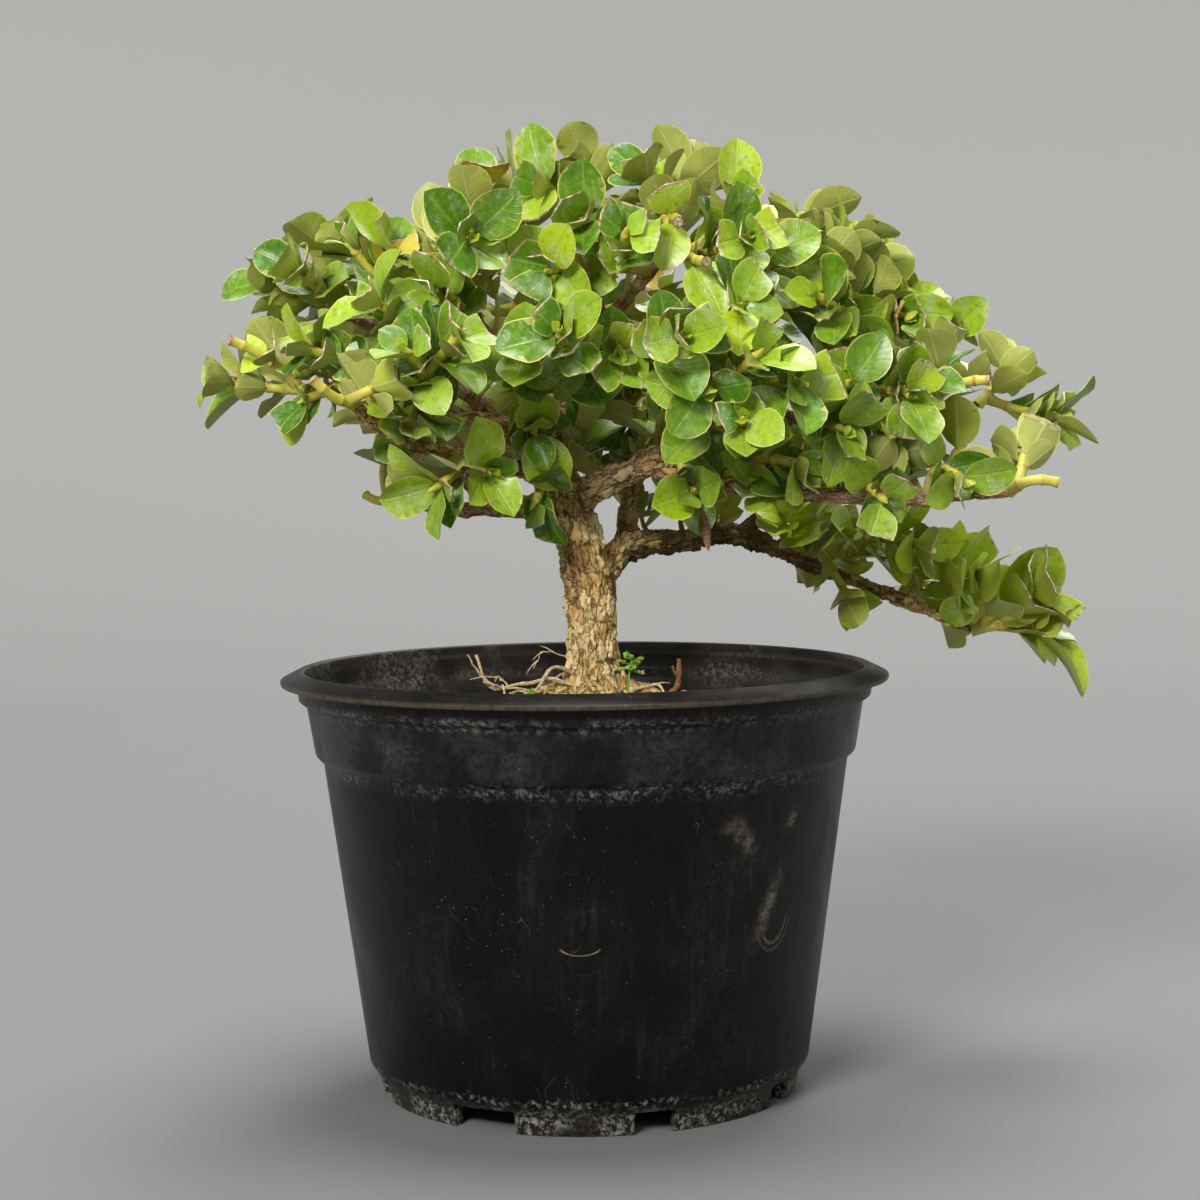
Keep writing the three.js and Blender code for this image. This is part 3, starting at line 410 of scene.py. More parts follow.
def twig_foot(branch_name, place_share, ends):
    branch = BRANCHES[branch_name]
    curve = Spline(branch["points"])
    root = curve.at(place_share)
    grain = curve.tangent(place_share)
    if place_share == 1:
        return root + grain * CLEARANCE, grain
    middle = np.mean([vec(*end[:3]) for end in ends], axis=0)
    axis = carried(middle - root, grain)
    return root + axis * (branch_radius(branch, place_share) + CLEARANCE), axis


def bend_clear(start, lead, tip, obstacles, twig):
    """The first of several bends that keeps a shoot clear of the other twigs, or the best."""
    span = math.dist(start, tip)
    best, best_room = None, None
    for i in range(13):
        sway = SWAYS[math.ceil(i / 6)] * span
        curve = Bow(start, start + lead * (KNEE * span) + across(lead, i * math.pi / 3) * sway, tip)
        room = obstacles.room(curve, twig)
        if best is None or room > best_room:
            best, best_room = curve, room
        if room > ROOM:
            break
    return best


def lay_out_twig(twig, ends, foot, axis, obstacles, shoots):
    """A twig's first shoot, and then the others on the free faces of its fork."""
    tips = [vec(*end[:3]) for end in ends]
    main = bend_clear(foot, axis, tips[0], obstacles, twig)
    aim = tips[1] - foot if len(tips) > 1 else across(axis, 0)
    foot_frame = Frame(foot, axis, carried(aim, axis))
    fork_share = FORK_HEIGHT / math.dist(foot, tips[0])
    tangent = main.tangent(fork_share)
    fork = Frame(main.at(fork_share), tangent, carried(foot_frame.side, tangent))
    free = [0, 1, 2, 3]
    for index, tip in enumerate(tips):
        number = len(shoots)
        if index == 0:
            curve, frames = main, [foot_frame, fork]
        else:
            lead_to = unit(tip - fork.centre)
            free.sort(key=lambda face: -(fork.out(face) @ lead_to))
            out = fork.out(free.pop(0))
            start = fork.centre + out * (SHOOT_RADIUS * math.sqrt(0.5))
            curve = bend_clear(start, unit(unit(tip - start) + out * 0.6), tip, obstacles, twig)
            first = FIRST_RING / math.dist(start, tip)
            grain = curve.tangent(first)
            below = -fork.tangent
            frames = [Frame(start, out, below), Frame(curve.at(first), grain, carried(below, grain))]
        shoots.append(Shoot(curve, frames, number, twig, ends[index]))
        for i in range(2 * SHOOT_STEPS + 1):
            share = i / (2 * SHOOT_STEPS)
            obstacles.add_stem(curve.at(share), SHOOT_RADIUS, twig, number, share)


def grow_leaf(shoot, node, out, twist, sheared, draws, obstacles):
    for turn, tilt, scale in TRIALS:
        leaf = Leaf(node, out, shoot.radius, twist, turn, tilt, scale, shoot.full, draws, sheared)
        if obstacles.clear_of(leaf.samples, shoot.number, shoot.twig):
            shoot.leaves.append(leaf)
            obstacles.add_leaf(leaf.samples)
            return leaf
    return None


def lay_out_leaves(shoots, obstacles):
    draw = draws_from(SEED)
    for shoot in shoots:
        shoot.add_nodes()
        twist = draw() - 0.5
        for pair in range(shoot.pairs):
            for half in range(2):
                draws = [draw() for _ in range(5)]
                if pair < len(shoot.node_shares):
                    node = shoot.frames[-2 - pair]
                    out = node.out(pair % 2 + 2 * half)
                    sheared = pair == 0 and draws[2] < SHEARED_SHARE
                    leaf = grow_leaf(shoot, node, out, twist, sheared, draws, obstacles)
                    if leaf:
                        leaf.pair = pair


def lay_out_tree():
    obstacles = Obstacles()
    for owner, branch in enumerate(BRANCHES.values()):
        curve = Spline(branch["points"])
        steps = 12 * curve.spans
        for share in (i / steps for i in range(steps + 1)):
            obstacles.add_stem(curve.at(share), branch_radius(branch, share), -1 - owner, -1, share)
    feet = [twig_foot(*twig) for twig in TWIGS]
    for twig, (foot, _) in enumerate(feet):
        obstacles.add_stem(foot, FOOT_RADIUS, twig)
    shoots = []
    for twig, (foot, axis) in enumerate(feet):
        lay_out_twig(twig, TWIGS[twig][2], foot, axis, obstacles, shoots)
    lay_out_leaves(shoots, obstacles)
    return obstacles, shoots


# Meshes
low, high = (np.array(corner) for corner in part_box("pot"))
AXIS = np.array([(low[0] + high[0]) / 2, (low[1] + high[1]) / 2, low[2]])


def place(points):
    """Millimetres about the pot's axis to metres in the CAD frame."""
    return np.asarray(points, float).reshape(-1, 3) * 0.001 + AXIS


class Surface:
    """Points, faces and painted values of one piece, gathered part by part."""

    def __init__(self, *value_names):
        self.points, self.faces, self.uvs, self.slots = [], [], [], []
        self.values = {name: [] for name in value_names}
        self.count = 0

    def add(self, points, faces, uvs=None, slot=0, **values):
        """faces are corner numbers among these points; uvs hold a pair for each corner of each face."""
        points = np.asarray(points, float).reshape(-1, 3)
        self.points.append(points)
        self.faces.extend([tuple(self.count + corner for corner in face) for face in faces])
        self.uvs.extend(uvs if uvs is not None else [[(0.0, 0.0)] * len(face) for face in faces])
        self.slots.extend(slot if isinstance(slot, list) else [slot] * len(faces))
        for name, stored in self.values.items():
            stored.append(np.broadcast_to(np.asarray(values.get(name, 0.0), float), len(points)))
        self.count += len(points)

    def piece(self, name, materials, crease=50):
        mesh = bpy.data.meshes.new(name)
        mesh.from_pydata(place(np.vstack(self.points)).tolist(), [], self.faces)
        layer = mesh.uv_layers.new(name="UVMap")
        layer.data.foreach_set("uv", np.array([pair for face in self.uvs for pair in face], float).ravel())
        for value_name, stored in self.values.items():
            attribute = mesh.attributes.new(value_name, "FLOAT", "POINT")
            attribute.data.foreach_set("value", np.concatenate(stored))
        for material in materials:
            mesh.materials.append(material)
        mesh.polygons.foreach_set("material_index", self.slots)
        mesh.shade_smooth()
        mesh.set_sharp_from_angle(angle=math.radians(crease))
        mesh.validate(clean_customdata=False)
        mesh.update()
        made = bpy.data.objects.new(name, mesh)
        bpy.context.scene.collection.objects.link(made)
        return made


def carried_sides(tangents, first=None):
    sides = [across(tangents[0], 0) if first is None else carried(first, tangents[0])]
    for tangent in tangents[1:]:
        sides.append(carried(sides[-1], tangent))
    return sides


def tangents_of(centres):
    ahead = np.gradient(centres, axis=0)
    return ahead / np.linalg.norm(ahead, axis=1)[:, None]


def add_tube(surface, centres, radii, sides, slot=0, cap_slot=None, first=None, **values):
    """A round stem through the centres; radii may be one a ring, or a table by ring and side."""
    centres = np.asarray(centres, float)
    rings = len(centres)
    tangents = tangents_of(centres)
    laid = carried_sides(tangents, first)
    turn = 2 * math.pi * np.arange(sides) / sides
    radii = np.asarray(radii, float)
    if radii.ndim == 1:
        radii = np.repeat(radii[:, None], sides, axis=1)
    points = []
    for centre, tangent, side, radius in zip(centres, tangents, laid, radii):
        up = np.cross(tangent, side)
        points.append(centre + np.outer(radius * np.cos(turn), side) + np.outer(radius * np.sin(turn), up))
    run = np.concatenate([[0], np.cumsum(np.linalg.norm(np.diff(centres, axis=0), axis=1))])
    faces, uvs, slots = [], [], []
    for i in range(rings - 1):
        for k in range(sides):
            n = (k + 1) % sides
            faces.append((i * sides + k, i * sides + n, (i + 1) * sides + n, (i + 1) * sides + k))
            left, right = k / sides, (k + 1) / sides
            uvs.append([(left, run[i]), (right, run[i]), (right, run[i + 1]), (left, run[i + 1])])
            slots.append(slot)
    for ring, order in ((0, -1), (rings - 1, 1)):
        cap = [ring * sides + k for k in range(sides)][::order]
        faces.append(tuple(cap))
        uvs.append([(0.5 + 0.5 * math.cos(turn[c % sides]), 0.5 + 0.5 * math.sin(turn[c % sides]))
                    for c in cap])
        slots.append(cap_slot if cap_slot is not None and ring else slot)
    for name, value in values.items():
        values[name] = np.repeat(np.broadcast_to(np.asarray(value, float), rings), sides)
    surface.add(np.vstack(points), faces, uvs, slots, **values)
    return run, laid


# Blades: the shares of the length at which a blade has its cross ribs, how dry each of them is where
# the blade is cut, and the lanes across it
RIBS = np.array([0, 0.06, 0.16, 0.31, 0.47, 0.63, 0.78, 0.9, 0.972, 1.0])
DRY = [0, 0, 0, 0, 0, 0, 0.05, 0.3, 0.75, 1.0]
LANES = np.array([-1, -0.52, 0, 0.52, 1])


def add_blade(surface, leaf, thick, tone, youth, wither, wave):
    """A leathery blade folded along its midrib, thick in the middle and thin at its margin."""
    sheared = leaf.cut < 1
    last, wide = len(RIBS) - 1, len(LANES)
    s = np.repeat(RIBS, wide)
    u = np.tile(LANES, len(RIBS))
    s = s * leaf.cut_share(u)
    stalk = np.clip(s / 0.2, 0, 1)
    narrowing = 0.2 + 0.8 * stalk * stalk * (3 - 2 * stalk)
    middle = leaf.points(s, u, narrowing * (1 + 0.09 * np.sin(math.pi * np.minimum(1, s) ** 1.5)))
    swell = wave[0] * np.sin(wave[1] + 9 * s) * np.abs(u) * u * u
    swell = swell + wave[2] * (1 - u * u) * np.sin(math.pi * s)
    middle = middle + np.outer(swell * leaf.half_width(s) / 4, leaf.normal)
    if not sheared:
        middle[s >= 1] += leaf.direction * 0.4
    bulge = 0.5 * thick * np.sqrt(1 - u * u) * (1 - 0.6 * s)
    channel = np.where(u == 0, 0.16 * np.clip(4 * s, 0, 1) * (1 - s), 0)
    upper = middle + np.outer(bulge - channel, leaf.normal)
    lower = middle - np.outer(bulge + channel, leaf.normal)
    points, dryness, numbers = [], [], {}
    faces, uvs = [], []

    def corner(face, row, lane):
        """Both faces share the margin, and each pole is one point."""
        pole = row == 0 or (row == last and not sheared)
        key = (row,) if pole else (row, lane) if lane in (0, wide - 1) else (face, row, lane)
        if key not in numbers:
            numbers[key] = len(points)
            points.append((middle if pole else (upper, lower)[face])[row * wide + lane])
            dryness.append(DRY[row] if sheared else 0.0)
        return numbers[key]

    def add_face(corners, uv=None):
        """A face without the corners that are one point with another."""
        numbered = [corner(*at) for at in corners]
        kept = [i for i, n in enumerate(numbered) if n not in numbered[:i]]
        faces.append(tuple(numbered[i] for i in kept))
        uvs.append([uv or (face + 0.5 + 0.5 * LANES[lane], s[row * wide + lane])
                    for face, row, lane in (corners[i] for i in kept)])

    for face, row, lane in itertools.product((0, 1), range(last), range(wide - 1)):
        quad = [(face, row, lane), (face, row, lane + 1), (face, row + 1, lane + 1), (face, row + 1, lane)]
        add_face(quad if face else quad[::-1])
    if sheared:
        for lane in range(wide - 1):
            add_face([(0, last, lane), (1, last, lane), (1, last, lane + 1), (0, last, lane + 1)], (0.5, 1.0))
    surface.add(points, faces, uvs, tone=tone, youth=youth, wither=wither, dry=dryness)


# Materials
def colour(hex_code):
    """An sRGB hex value as linear red, green, blue and alpha."""
    parts = [int(hex_code[i:i + 2], 16) / 255 for i in (1, 3, 5)]
    return (*[c / 12.92 if c <= 0.04045 else ((c + 0.055) / 1.055) ** 2.4 for c in parts], 1.0)


# Short names of node types: type, the sockets that values fill in turn, what they hold, settings, output
KINDS = {
    "math": ("ShaderNodeMath", (0, 1, 2), {}, {}, 0),
    "vectors": ("ShaderNodeVectorMath", (0, 1, 2), {}, {}, 0),
    "split": ("ShaderNodeSeparateXYZ", (0,), {}, {}, 0),
    "attribute": ("ShaderNodeAttribute", (), {}, {}, "Fac"),
    "noise": ("ShaderNodeTexNoise", ("Vector", "Detail", "Roughness", "Distortion"),
              {"Scale": 1.0, "Detail": 3.0, "Roughness": 0.55}, {}, "Fac"),
    "cells": ("ShaderNodeTexVoronoi", ("Vector",), {"Scale": 1.0}, {}, "Distance"),
    "fade": ("ShaderNodeMapRange", ("Value", "From Min", "From Max", "To Min", "To Max"), {},
             {"interpolation_type": "SMOOTHSTEP"}, 0),
    "mix": ("ShaderNodeMix", (0, 6, 7), {}, {"data_type": "RGBA"}, 2),
    "bump": ("ShaderNodeBump", ("Height", "Distance", "Strength"), {}, {}, 0),
}


def add_node(tree, kind, *values, **settings):
    """Adds a node with its settings and links, and gives its output.

    The kind is a node's type, a short name in KINDS or, in capitals, an operation of the Math node.
    Values are numbers, hex colours or outputs. A dict of them goes by the names of the sockets.
    """
    math_node = kind.isupper()
    full, sockets, held, preset, output = KINDS.get("math" if math_node else kind, (kind, (), {}, {}, 0))
    if math_node:
        settings["operation"] = kind
    node = tree.nodes.new(full)
    for key, value in {**preset, **settings}.items():
        setattr(node, key, value)
    in_turn = [value for value in values if not isinstance(value, dict)]
    by_name = [value for value in values if isinstance(value, dict)]
    for key, value in {**held, **dict(zip(sockets, in_turn)), **(by_name[0] if by_name else {})}.items():
        if isinstance(value, Out):
            tree.links.new(value.node.outputs[value.socket], node.inputs[key])
        else:
            hex_code = isinstance(value, str) and value.startswith("#")
            node.inputs[key].default_value = colour(value) if hex_code else value
    return Out(node, output)


class Out:
    """One output of a node. Arithmetic on it adds Math nodes, and out[socket] is another output."""

    def __init__(self, node, socket):
        self.node, self.socket = node, socket

    def __getitem__(self, socket):
        return Out(self.node, socket)

    def __add__(self, other):
        return add_node(self.node.id_data, "ADD", self, other)

    def __sub__(self, other):
        return add_node(self.node.id_data, "SUBTRACT", self, other)

    def __rsub__(self, other):
        return add_node(self.node.id_data, "SUBTRACT", other, self)

    def __mul__(self, other):
        return add_node(self.node.id_data, "MULTIPLY", self, other)


FLAKE = (2.3, 2.3, 5.2)  # millimetres: across, across and along the grain


def flake_cells(tree, grain, feature):
    """Ragged cells drawn out along the grain: their edges for cracks, a random grey each for plates."""
    scaled = add_node(tree, "vectors", grain, tuple(1 / s for s in FLAKE), operation="MULTIPLY")
    warp = add_node(tree, "noise", scaled, 4.0, 0.7, {"Scale": 0.9})["Color"]
    ragged = add_node(tree, "vectors", warp, (1.7, 1.7, 1.7), scaled, operation="MULTIPLY_ADD")
    cells = add_node(tree, "cells", ragged, feature=feature)
    return cells if feature == "DISTANCE_TO_EDGE" else add_node(tree, "split", cells["Color"])


class Finish:
    """A material being mixed from what its surface shows, layer by layer."""

    def __init__(self, name, roughness, ior=1.5, **same_all_over):
        self.material = bpy.data.materials.new(name)
        self.material.use_nodes = True
        self.tree = self.material.node_tree
        self.shader = self.tree.nodes["Principled BSDF"]
        for key, value in {"Roughness": roughness, "IOR": ior, **same_all_over}.items():
            self.shader.inputs[key.replace("_", " ")].default_value = value
        self.place = self("ShaderNodeTexCoord")["Object"]

    def __call__(self, kind, *values, **settings):
        return add_node(self.tree, kind, *values, **settings)

    def sized(self, size, grain=None, offset=(0, 0, 0)):
        """Object coordinates, or places along the grain, in units of one or three sizes in millimetres."""
        sizes = size if isinstance(size, tuple) else (size,) * 3
        per = tuple((1 if grain else 1000) / one for one in sizes)
        return self("ShaderNodeMapping", {"Vector": grain or self.place, "Scale": per, "Location": offset})

    def painted(self, *names):
        return [self("attribute", attribute_name=name) for name in names]

    def over(self, base, *layers):
        """Lays colours over the base, each by a share, or by a value and the limits it fades between."""
        for share, tint in layers:
            base = self("mix", self("fade", *share) if isinstance(share, tuple) else share, base, tint)
        return base

    def done(self, base, rough=None, relief=None, depth_mm=0.0, strength=1.0):
        """Feeds the shader and gives the material."""
        bump = relief and self("bump", relief, depth_mm / 1000, strength)
        for socket, value in (("Base Color", base), ("Roughness", rough), ("Normal", bump)):
            if value:
                self.tree.links.new(value.node.outputs[value.socket], self.shader.inputs[socket])
        return self.material


def waxy_leaf(name, deep, fresh, lime, under):
    """A thick evergreen leaf with a waxy skin: glossy above, matt and paler below, lime-spotted."""
    f = Finish(name, 0.32, ior=1.45, Coat_Weight=0.22, Coat_Roughness=0.33)
    uv = f("split", f("ShaderNodeUVMap", uv_map="UVMap"))
    below = f("GREATER_THAN", uv, 1.0)
    edge = f("ABSOLUTE", f("FRACT", uv) * 2.0 - 1.0)
    tone, youth, wither, dry = f.painted("tone", "youth", "wither", "dry")
    patches = f("noise", f.sized(9), 2.0)
    mottle = f("noise", f.sized(1.6), 3.0)
    vein = f("fade", f("SINE", uv[1] * 62.0 - edge * 14.0), 0.75, 1.0)
    midrib = f("fade", edge, 0.03, 0.09, 1.0, 0.0)
    film = f("fade", f("noise", f.sized((5, 5, 7)), 4.0, 0.65), 0.49, 0.68) * (1.0 - below)
    spots = f("fade", f("cells", f.sized(1.2)), 0.12, 0.24, 1.0, 0.0)
    upper = f.over(deep, ((tone * 0.7 + patches * 0.45, 0.2, 0.85), fresh), ((youth, 0.35, 1.0), lime),
                   ((mottle, 0.48, 0.75, 0.0, 0.28), lime), ((mottle, 0.3, 0.48, 0.34, 0.0), "#2c5808"),
                   (vein * 0.03, "#b7c46a"), (midrib * 0.3, "#a9ba52"))
    lower = f.over(under, ((tone * 0.5 + mottle * 0.5, 0.3, 0.75), "#bcbf5e"),
                   ((patches, 0.42, 0.62, 0.0, 0.4), "#8f964a"),
                   ((youth, 0.3, 0.9, 0.0, 0.75), "#bcc83a"), (midrib * 0.6, "#c6c98a"))
    yellowed = f.over("#dcb53c", ((patches, 0.48, 0.72), "#bd6a2c"))
    corky = f.over("#8d6440", ((mottle, 0.35, 0.65), "#d8c9ac"))
    base = f.over(upper, (below, lower), (film * 0.24, "#cfd6c0"), (spots * film * 0.75, "#e6e8da"),
                  (f("fade", edge, 0.91, 0.985) * 0.85, "#dcd668"), (wither, yellowed),
                  ((dry, 0.5, 0.9), corky))
    rough = below * 0.26 + (film * 0.2 + f("fade", mottle, 0.3, 0.8, 0.28, 0.42))
    relief = midrib * (below * 2.0 - 1.0) + (vein * 0.35 + mottle * 0.5)
    return f.done(base, rough, relief, 0.16, 0.7)


def young_bark(name, green, olive, brown, ring_colour):
    """Smooth skin of a shoot: waxy green near its tip and thin brown bark near its foot."""
    f = Finish(name, 0.5, ior=1.45)
    grain = f("noise", f.sized((1.2, 1.2, 3)), 4.0, 0.6)
    green_share, ring, dry = f.painted("youth", "ring", "dry")
    youth = (grain - 0.5) * 0.5 + green_share
    specks = f("fade", f("cells", f.sized((0.9, 0.9, 1.4))), 0.12, 0.2, 1.0, 0.0)
    stub = f.over("#b05c22", ((grain, 0.4, 0.6), "#d8b98c"))
    base = f.over(brown, ((youth, 0.15, 0.5), olive), ((youth, 0.5, 0.85), green),
                  ((grain, 0.5, 0.8, 0.0, 0.4), "#5b4a30"),
                  (f("fade", ring, 0.5, 1.0) * f("fade", grain, 0.35, 0.65, 0.15, 0.85), ring_colour),
                  (specks * 0.3, "#cdbf9c"), ((dry, 0.25, 0.9, 0.0, 0.9), stub))
    return f.done(base, f("fade", youth, 0.2, 0.8, 0.8, 0.42), grain + ring * 0.6, 0.18, 0.6)


def corky_cut(name):
    """Dried pith and wood at a pruning cut: pale cork with a dark rim."""
    f = Finish(name, 0.9, ior=1.4)
    out = f("vectors", f("ShaderNodeUVMap", uv_map="UVMap"), (0.5, 0.5, 0), operation="DISTANCE")["Value"]
    grain = f("noise", f.sized(0.6), 4.0, 0.7)
    base = f.over("#9c7a52", ((grain, 0.35, 0.7), "#e0d2b8"), ((out, 0.36, 0.46), "#5d4026"),
                  ((out, 0.05, 0.12, 0.6, 0.0), "#6d4c2e"))
    return f.done(base, None, grain, 0.3, 0.8)


def plum_bark(name):
    """Flaky fissured bark of an old natal plum: ochre and cream flakes over dark pits, greenish in places,
    and darker on the low right branch, partly as painted shade.
    """
    f = Finish(name, 0.92, ior=1.4)
    old, crack, dark, pale, grain = f.painted("old", "crack", "dark", "pale", "grain")
    grain = grain["Vector"]
    fibres = f("noise", f.sized((0.5, 0.5, 3.2), grain), 4.0, 0.7, 0.6)
    plates = f("noise", f.sized((1.9, 1.9, 4.2), grain), 5.0, 0.68, 0.4)
    pits = f("noise", f.sized((1.1, 1.1, 2.0), grain, (7, 3, 5)), 4.0, 0.7)
    broad = f("noise", f.sized((9, 9, 14)), 3.0, 0.55)
    grey = f("noise", f.sized((4, 4, 9), offset=(31, 7, 3)), 5.0, 0.6)
    flake = flake_cells(f.tree, grain, "F1")
    seam = f("fade", flake_cells(f.tree, grain, "DISTANCE_TO_EDGE"), 0.0, 0.075, 1.0, 0.0)
    tinted = (flake - 0.5) * 0.34 + plates
    aged = f.over("#d09c48", ((tinted, 0.3, 0.66), "#fad58a"), ((flake, 0.74, 0.86, 0.0, 0.6), "#f6e0a8"),
                  ((flake, 0.12, 0.2, 0.5, 0.0), "#b0904c"), ((fibres, 0.45, 0.66, 0.0, 0.8), "#f6dfa8"),
                  ((broad, 0.5, 0.68, 0.0, 0.5), "#a9a25c"), ((grey, 0.55, 0.66, 0.0, 0.4), "#9f9064"),
                  ((pits, 0.34, 0.44, 0.6, 0.0), "#6d5028"))
    young = f.over("#a88058", ((tinted, 0.3, 0.66), "#d8b48a"), ((fibres, 0.47, 0.68, 0.0, 0.85), "#e4cbaa"),
                   ((broad, 0.45, 0.6, 0.0, 0.3), "#96583e"))
    base = f.over(young, ((old, 0.25, 0.75), aged),
                  (seam * f("fade", old, 0.2, 0.8, 0.3, 0.6), "#70501f"),
                  ((crack, 0.6, 1.0, 0.0, 0.7), "#523a1a"),
                  # Painted shade with darker old bark: the dark patches on the low right branch, under the
                  # crown
                  (dark * f("fade", fibres, 0.35, 0.7, 0.95, 0.55), "#46321a"),
                  (pale * f("fade", fibres, 0.3, 0.6, 0.4, 0.9), "#d6bb95"))
    relief = fibres + plates - crack * 0.5 + flake - seam
    return f.done(base, f("fade", fibres, 0.3, 0.7, 0.95, 0.78), relief, 0.6)


def root_skin(name, dark, light):
    """Thin dry skin of surface roots and dead stems."""
    f = Finish(name, 0.85, ior=1.4)
    grain = f("noise", f.sized(0.7), 5.0, 0.65)
    patches = f("noise", f.sized(5), 2.0)
    base = f.over(dark, ((grain, 0.35, 0.65), light), ((patches, 0.45, 0.65, 0.0, 0.5), dark))
    return f.done(base, None, grain, 0.2, 0.7)


def potting_mix(name):
    """Moist peat and composted bark: nearly black crumbs with brown fibres and a little pale grit."""
    f = Finish(name, 0.95, ior=1.35)
    tone, = f.painted("tone")
    grain = f("noise", f.sized(0.8), 5.0, 0.65)
    base = f.over("#1d140c", ((grain, 0.35, 0.7), "#4b3623"), ((tone, 0.55, 0.9, 0.0, 0.8), "#7a5836"),
                  ((tone, 0.93, 0.97, 0.0, 0.9), "#b9ac95"))
    return f.done(base, None, grain, 0.5, 0.8)


# Curved rub marks in mm: way round from the front, height, radius, how wide and how tall each is drawn
# out, and its strength
ARC_RADIUS = 66.0
ARCS = [(-1.6, 50.5, 4.4, 1.15, 0.5, 0.75), (53.5, 56, 4.8, 1.1, 1.9, 0.35), (53.5, 56, 6.3, 1.1, 1.75, 0.2)]


def black_polypropylene(name):
    """Moulded black polypropylene, sun-dulled: satin skin, hairline scratches, dried lime from watering, a
    painted rim highlight and painted light inside.
    """
    f = Finish(name, 0.46, ior=1.49, Specular_IOR_Level=0.2)
    spot = f("split", f.place)
    height = spot[2] * 1000.0
    around = f("ARCTAN2", spot - float(AXIS[0]), float(AXIS[1]) - spot[1])

    def band(low_, rising, falling, high_):
        return f("fade", height, low_, rising) * f("fade", height, falling, high_, 1.0, 0.0)

    haze = f("noise", f.sized((26, 26, 34)), 4.0, 0.6, 0.6)
    patch = f("noise", f.sized((15, 15, 12), offset=(4, 9, 2)), 3.0, 0.6)
    fine = f("noise", f.sized(1.4), 5.0, 0.72)
    dust = f("noise", f.sized(0.5), 2.0, 0.6)
    streak = f("noise", f.sized((2.6, 2.6, 75), offset=(1, 6, 3)), 3.0, 0.6)
    swirl = f("noise", f.sized((16, 16, 22), offset=(5, 2, 9)), 1.0, 0.4, 2.2)
    scuff, inside = f.painted("scuff", "inside")
    collar = band(86, 93, 108, 111) * f("fade", patch, 0.32, 0.7, 0.1, 1.0)
    collar = collar * f("fade", fine, 0.35, 0.6, 0.3, 1.0)
    run = f("fade", streak, 0.55, 0.72) * f("fade", haze, 0.35, 0.6, 0.02, 0.15)
    speck = f("fade", f("cells", f.sized(2.4)), 0.05, 0.1, 1.0, 0.0) * f("fade", patch, 0.4, 0.65, 0.1, 1.0)
    bloom = f("fade", haze, 0.45, 0.75) * f("fade", fine, 0.4, 0.7)
    # Painted highlight: a thin lighter line along the rim's outer edge
    painted_rim_highlight = band(111.0, 111.6, 112.0, 113.0) * f("fade", fine, 0.3, 0.7, 0.3, 0.8)
    groove = f("MAXIMUM", band(104.2, 105.8, 107.0, 109.0), band(86.0, 89.4, 91.0, 92.4))
    crust = groove * f("fade", patch, 0.34, 0.54, 0.08, 1.0) * f("fade", fine, 0.48, 0.62)
    low_down = f("fade", height, 3.0, 9.6, 1.0, 0.0)
    foot = low_down * f("fade", patch, 0.4, 0.58, 0.12, 1.0) * f("fade", fine, 0.45, 0.62)
    seam = band(7.6, 8.6, 9.2, 10.6) * f("fade", fine, 0.5, 0.6)
    scratch = f("fade", f("ABSOLUTE", swirl - 0.5), 0.0, 0.0022, 1.0, 0.0) * f("fade", patch, 0.5, 0.62)
    smear = scuff * f("fade", fine, 0.38, 0.58, 0.2, 1.0)
    for across_mm, up_mm, reach_mm, wide, tall, strength in ARCS:
        off_x = around * (ARC_RADIUS / wide) - across_mm / wide
        off_z = height * (1.0 / tall) - up_mm / tall
        out = f("SQRT", off_x * off_x + off_z * off_z)
        line = f("fade", f("ABSOLUTE", out - reach_mm), 0.12, 0.42, 1.0, 0.0)
        lower = f("fade", off_z, -0.5 * reach_mm, -0.1 * reach_mm, 1.0, 0.0)
        worn = line * lower * f("fade", fine, 0.36, 0.55, 0.3, 1.0)
        smear = f("MAXIMUM", smear, worn * strength)
    splash = inside * (f("fade", haze, 0.5, 0.66) * f("fade", fine, 0.42, 0.62))
    base = f.over("#080605", ((haze, 0.3, 0.7), "#100d0b"), (collar * 0.85, "#3b3937"), (run, "#4a4743"),
                  (speck * 0.5, "#8b8882"), (bloom * 0.3, "#4c4a46"), (painted_rim_highlight, "#5d5143"),
                  (crust * 0.5, "#8b8984"), (band(0.0, 0.5, 5.5, 9.0) * 0.6, "#2d2822"),
                  (foot * 0.85, "#a5a299"), (seam * f("fade", patch, 0.4, 0.6, 0.1, 0.6), "#a5a299"),
                  (scratch * 0.3, "#8d877d"), (smear, "#8f867a"),
                  # Painted light: the inner wall painted lighter in patches, where the front light falls on
                  # it
                  (inside * f("fade", patch, 0.3, 0.65, 0.35, 1.0) * 0.8, "#3b3530"),
                  (splash * 0.6, "#86857f"))
    rough = f("fade", haze, 0.3, 0.7, 0.34, 0.5) + (crust + foot) * 0.35
    return f.done(base, rough, dust * 0.25 + (crust + foot), 0.22, 0.5)


# Pieces
FRESH = np.random.default_rng(SEED)


def evaluated(thing, name):
    """Bakes what the modifiers of a thing make into a plain mesh, and takes the modifiers off."""
    graph = bpy.context.evaluated_depsgraph_get()
    result = thing.evaluated_get(graph)
    mesh = bpy.data.meshes.new_from_object(result, preserve_all_data_layers=True, depsgraph=graph)
    thing.modifiers.clear()
    old, thing.data = thing.data, mesh
    bpy.data.meshes.remove(old)
    mesh.name = name
    return thing


def hand_in(made, slot, *nodes):
    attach(made, "root")
    if nodes:
        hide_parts(*nodes)


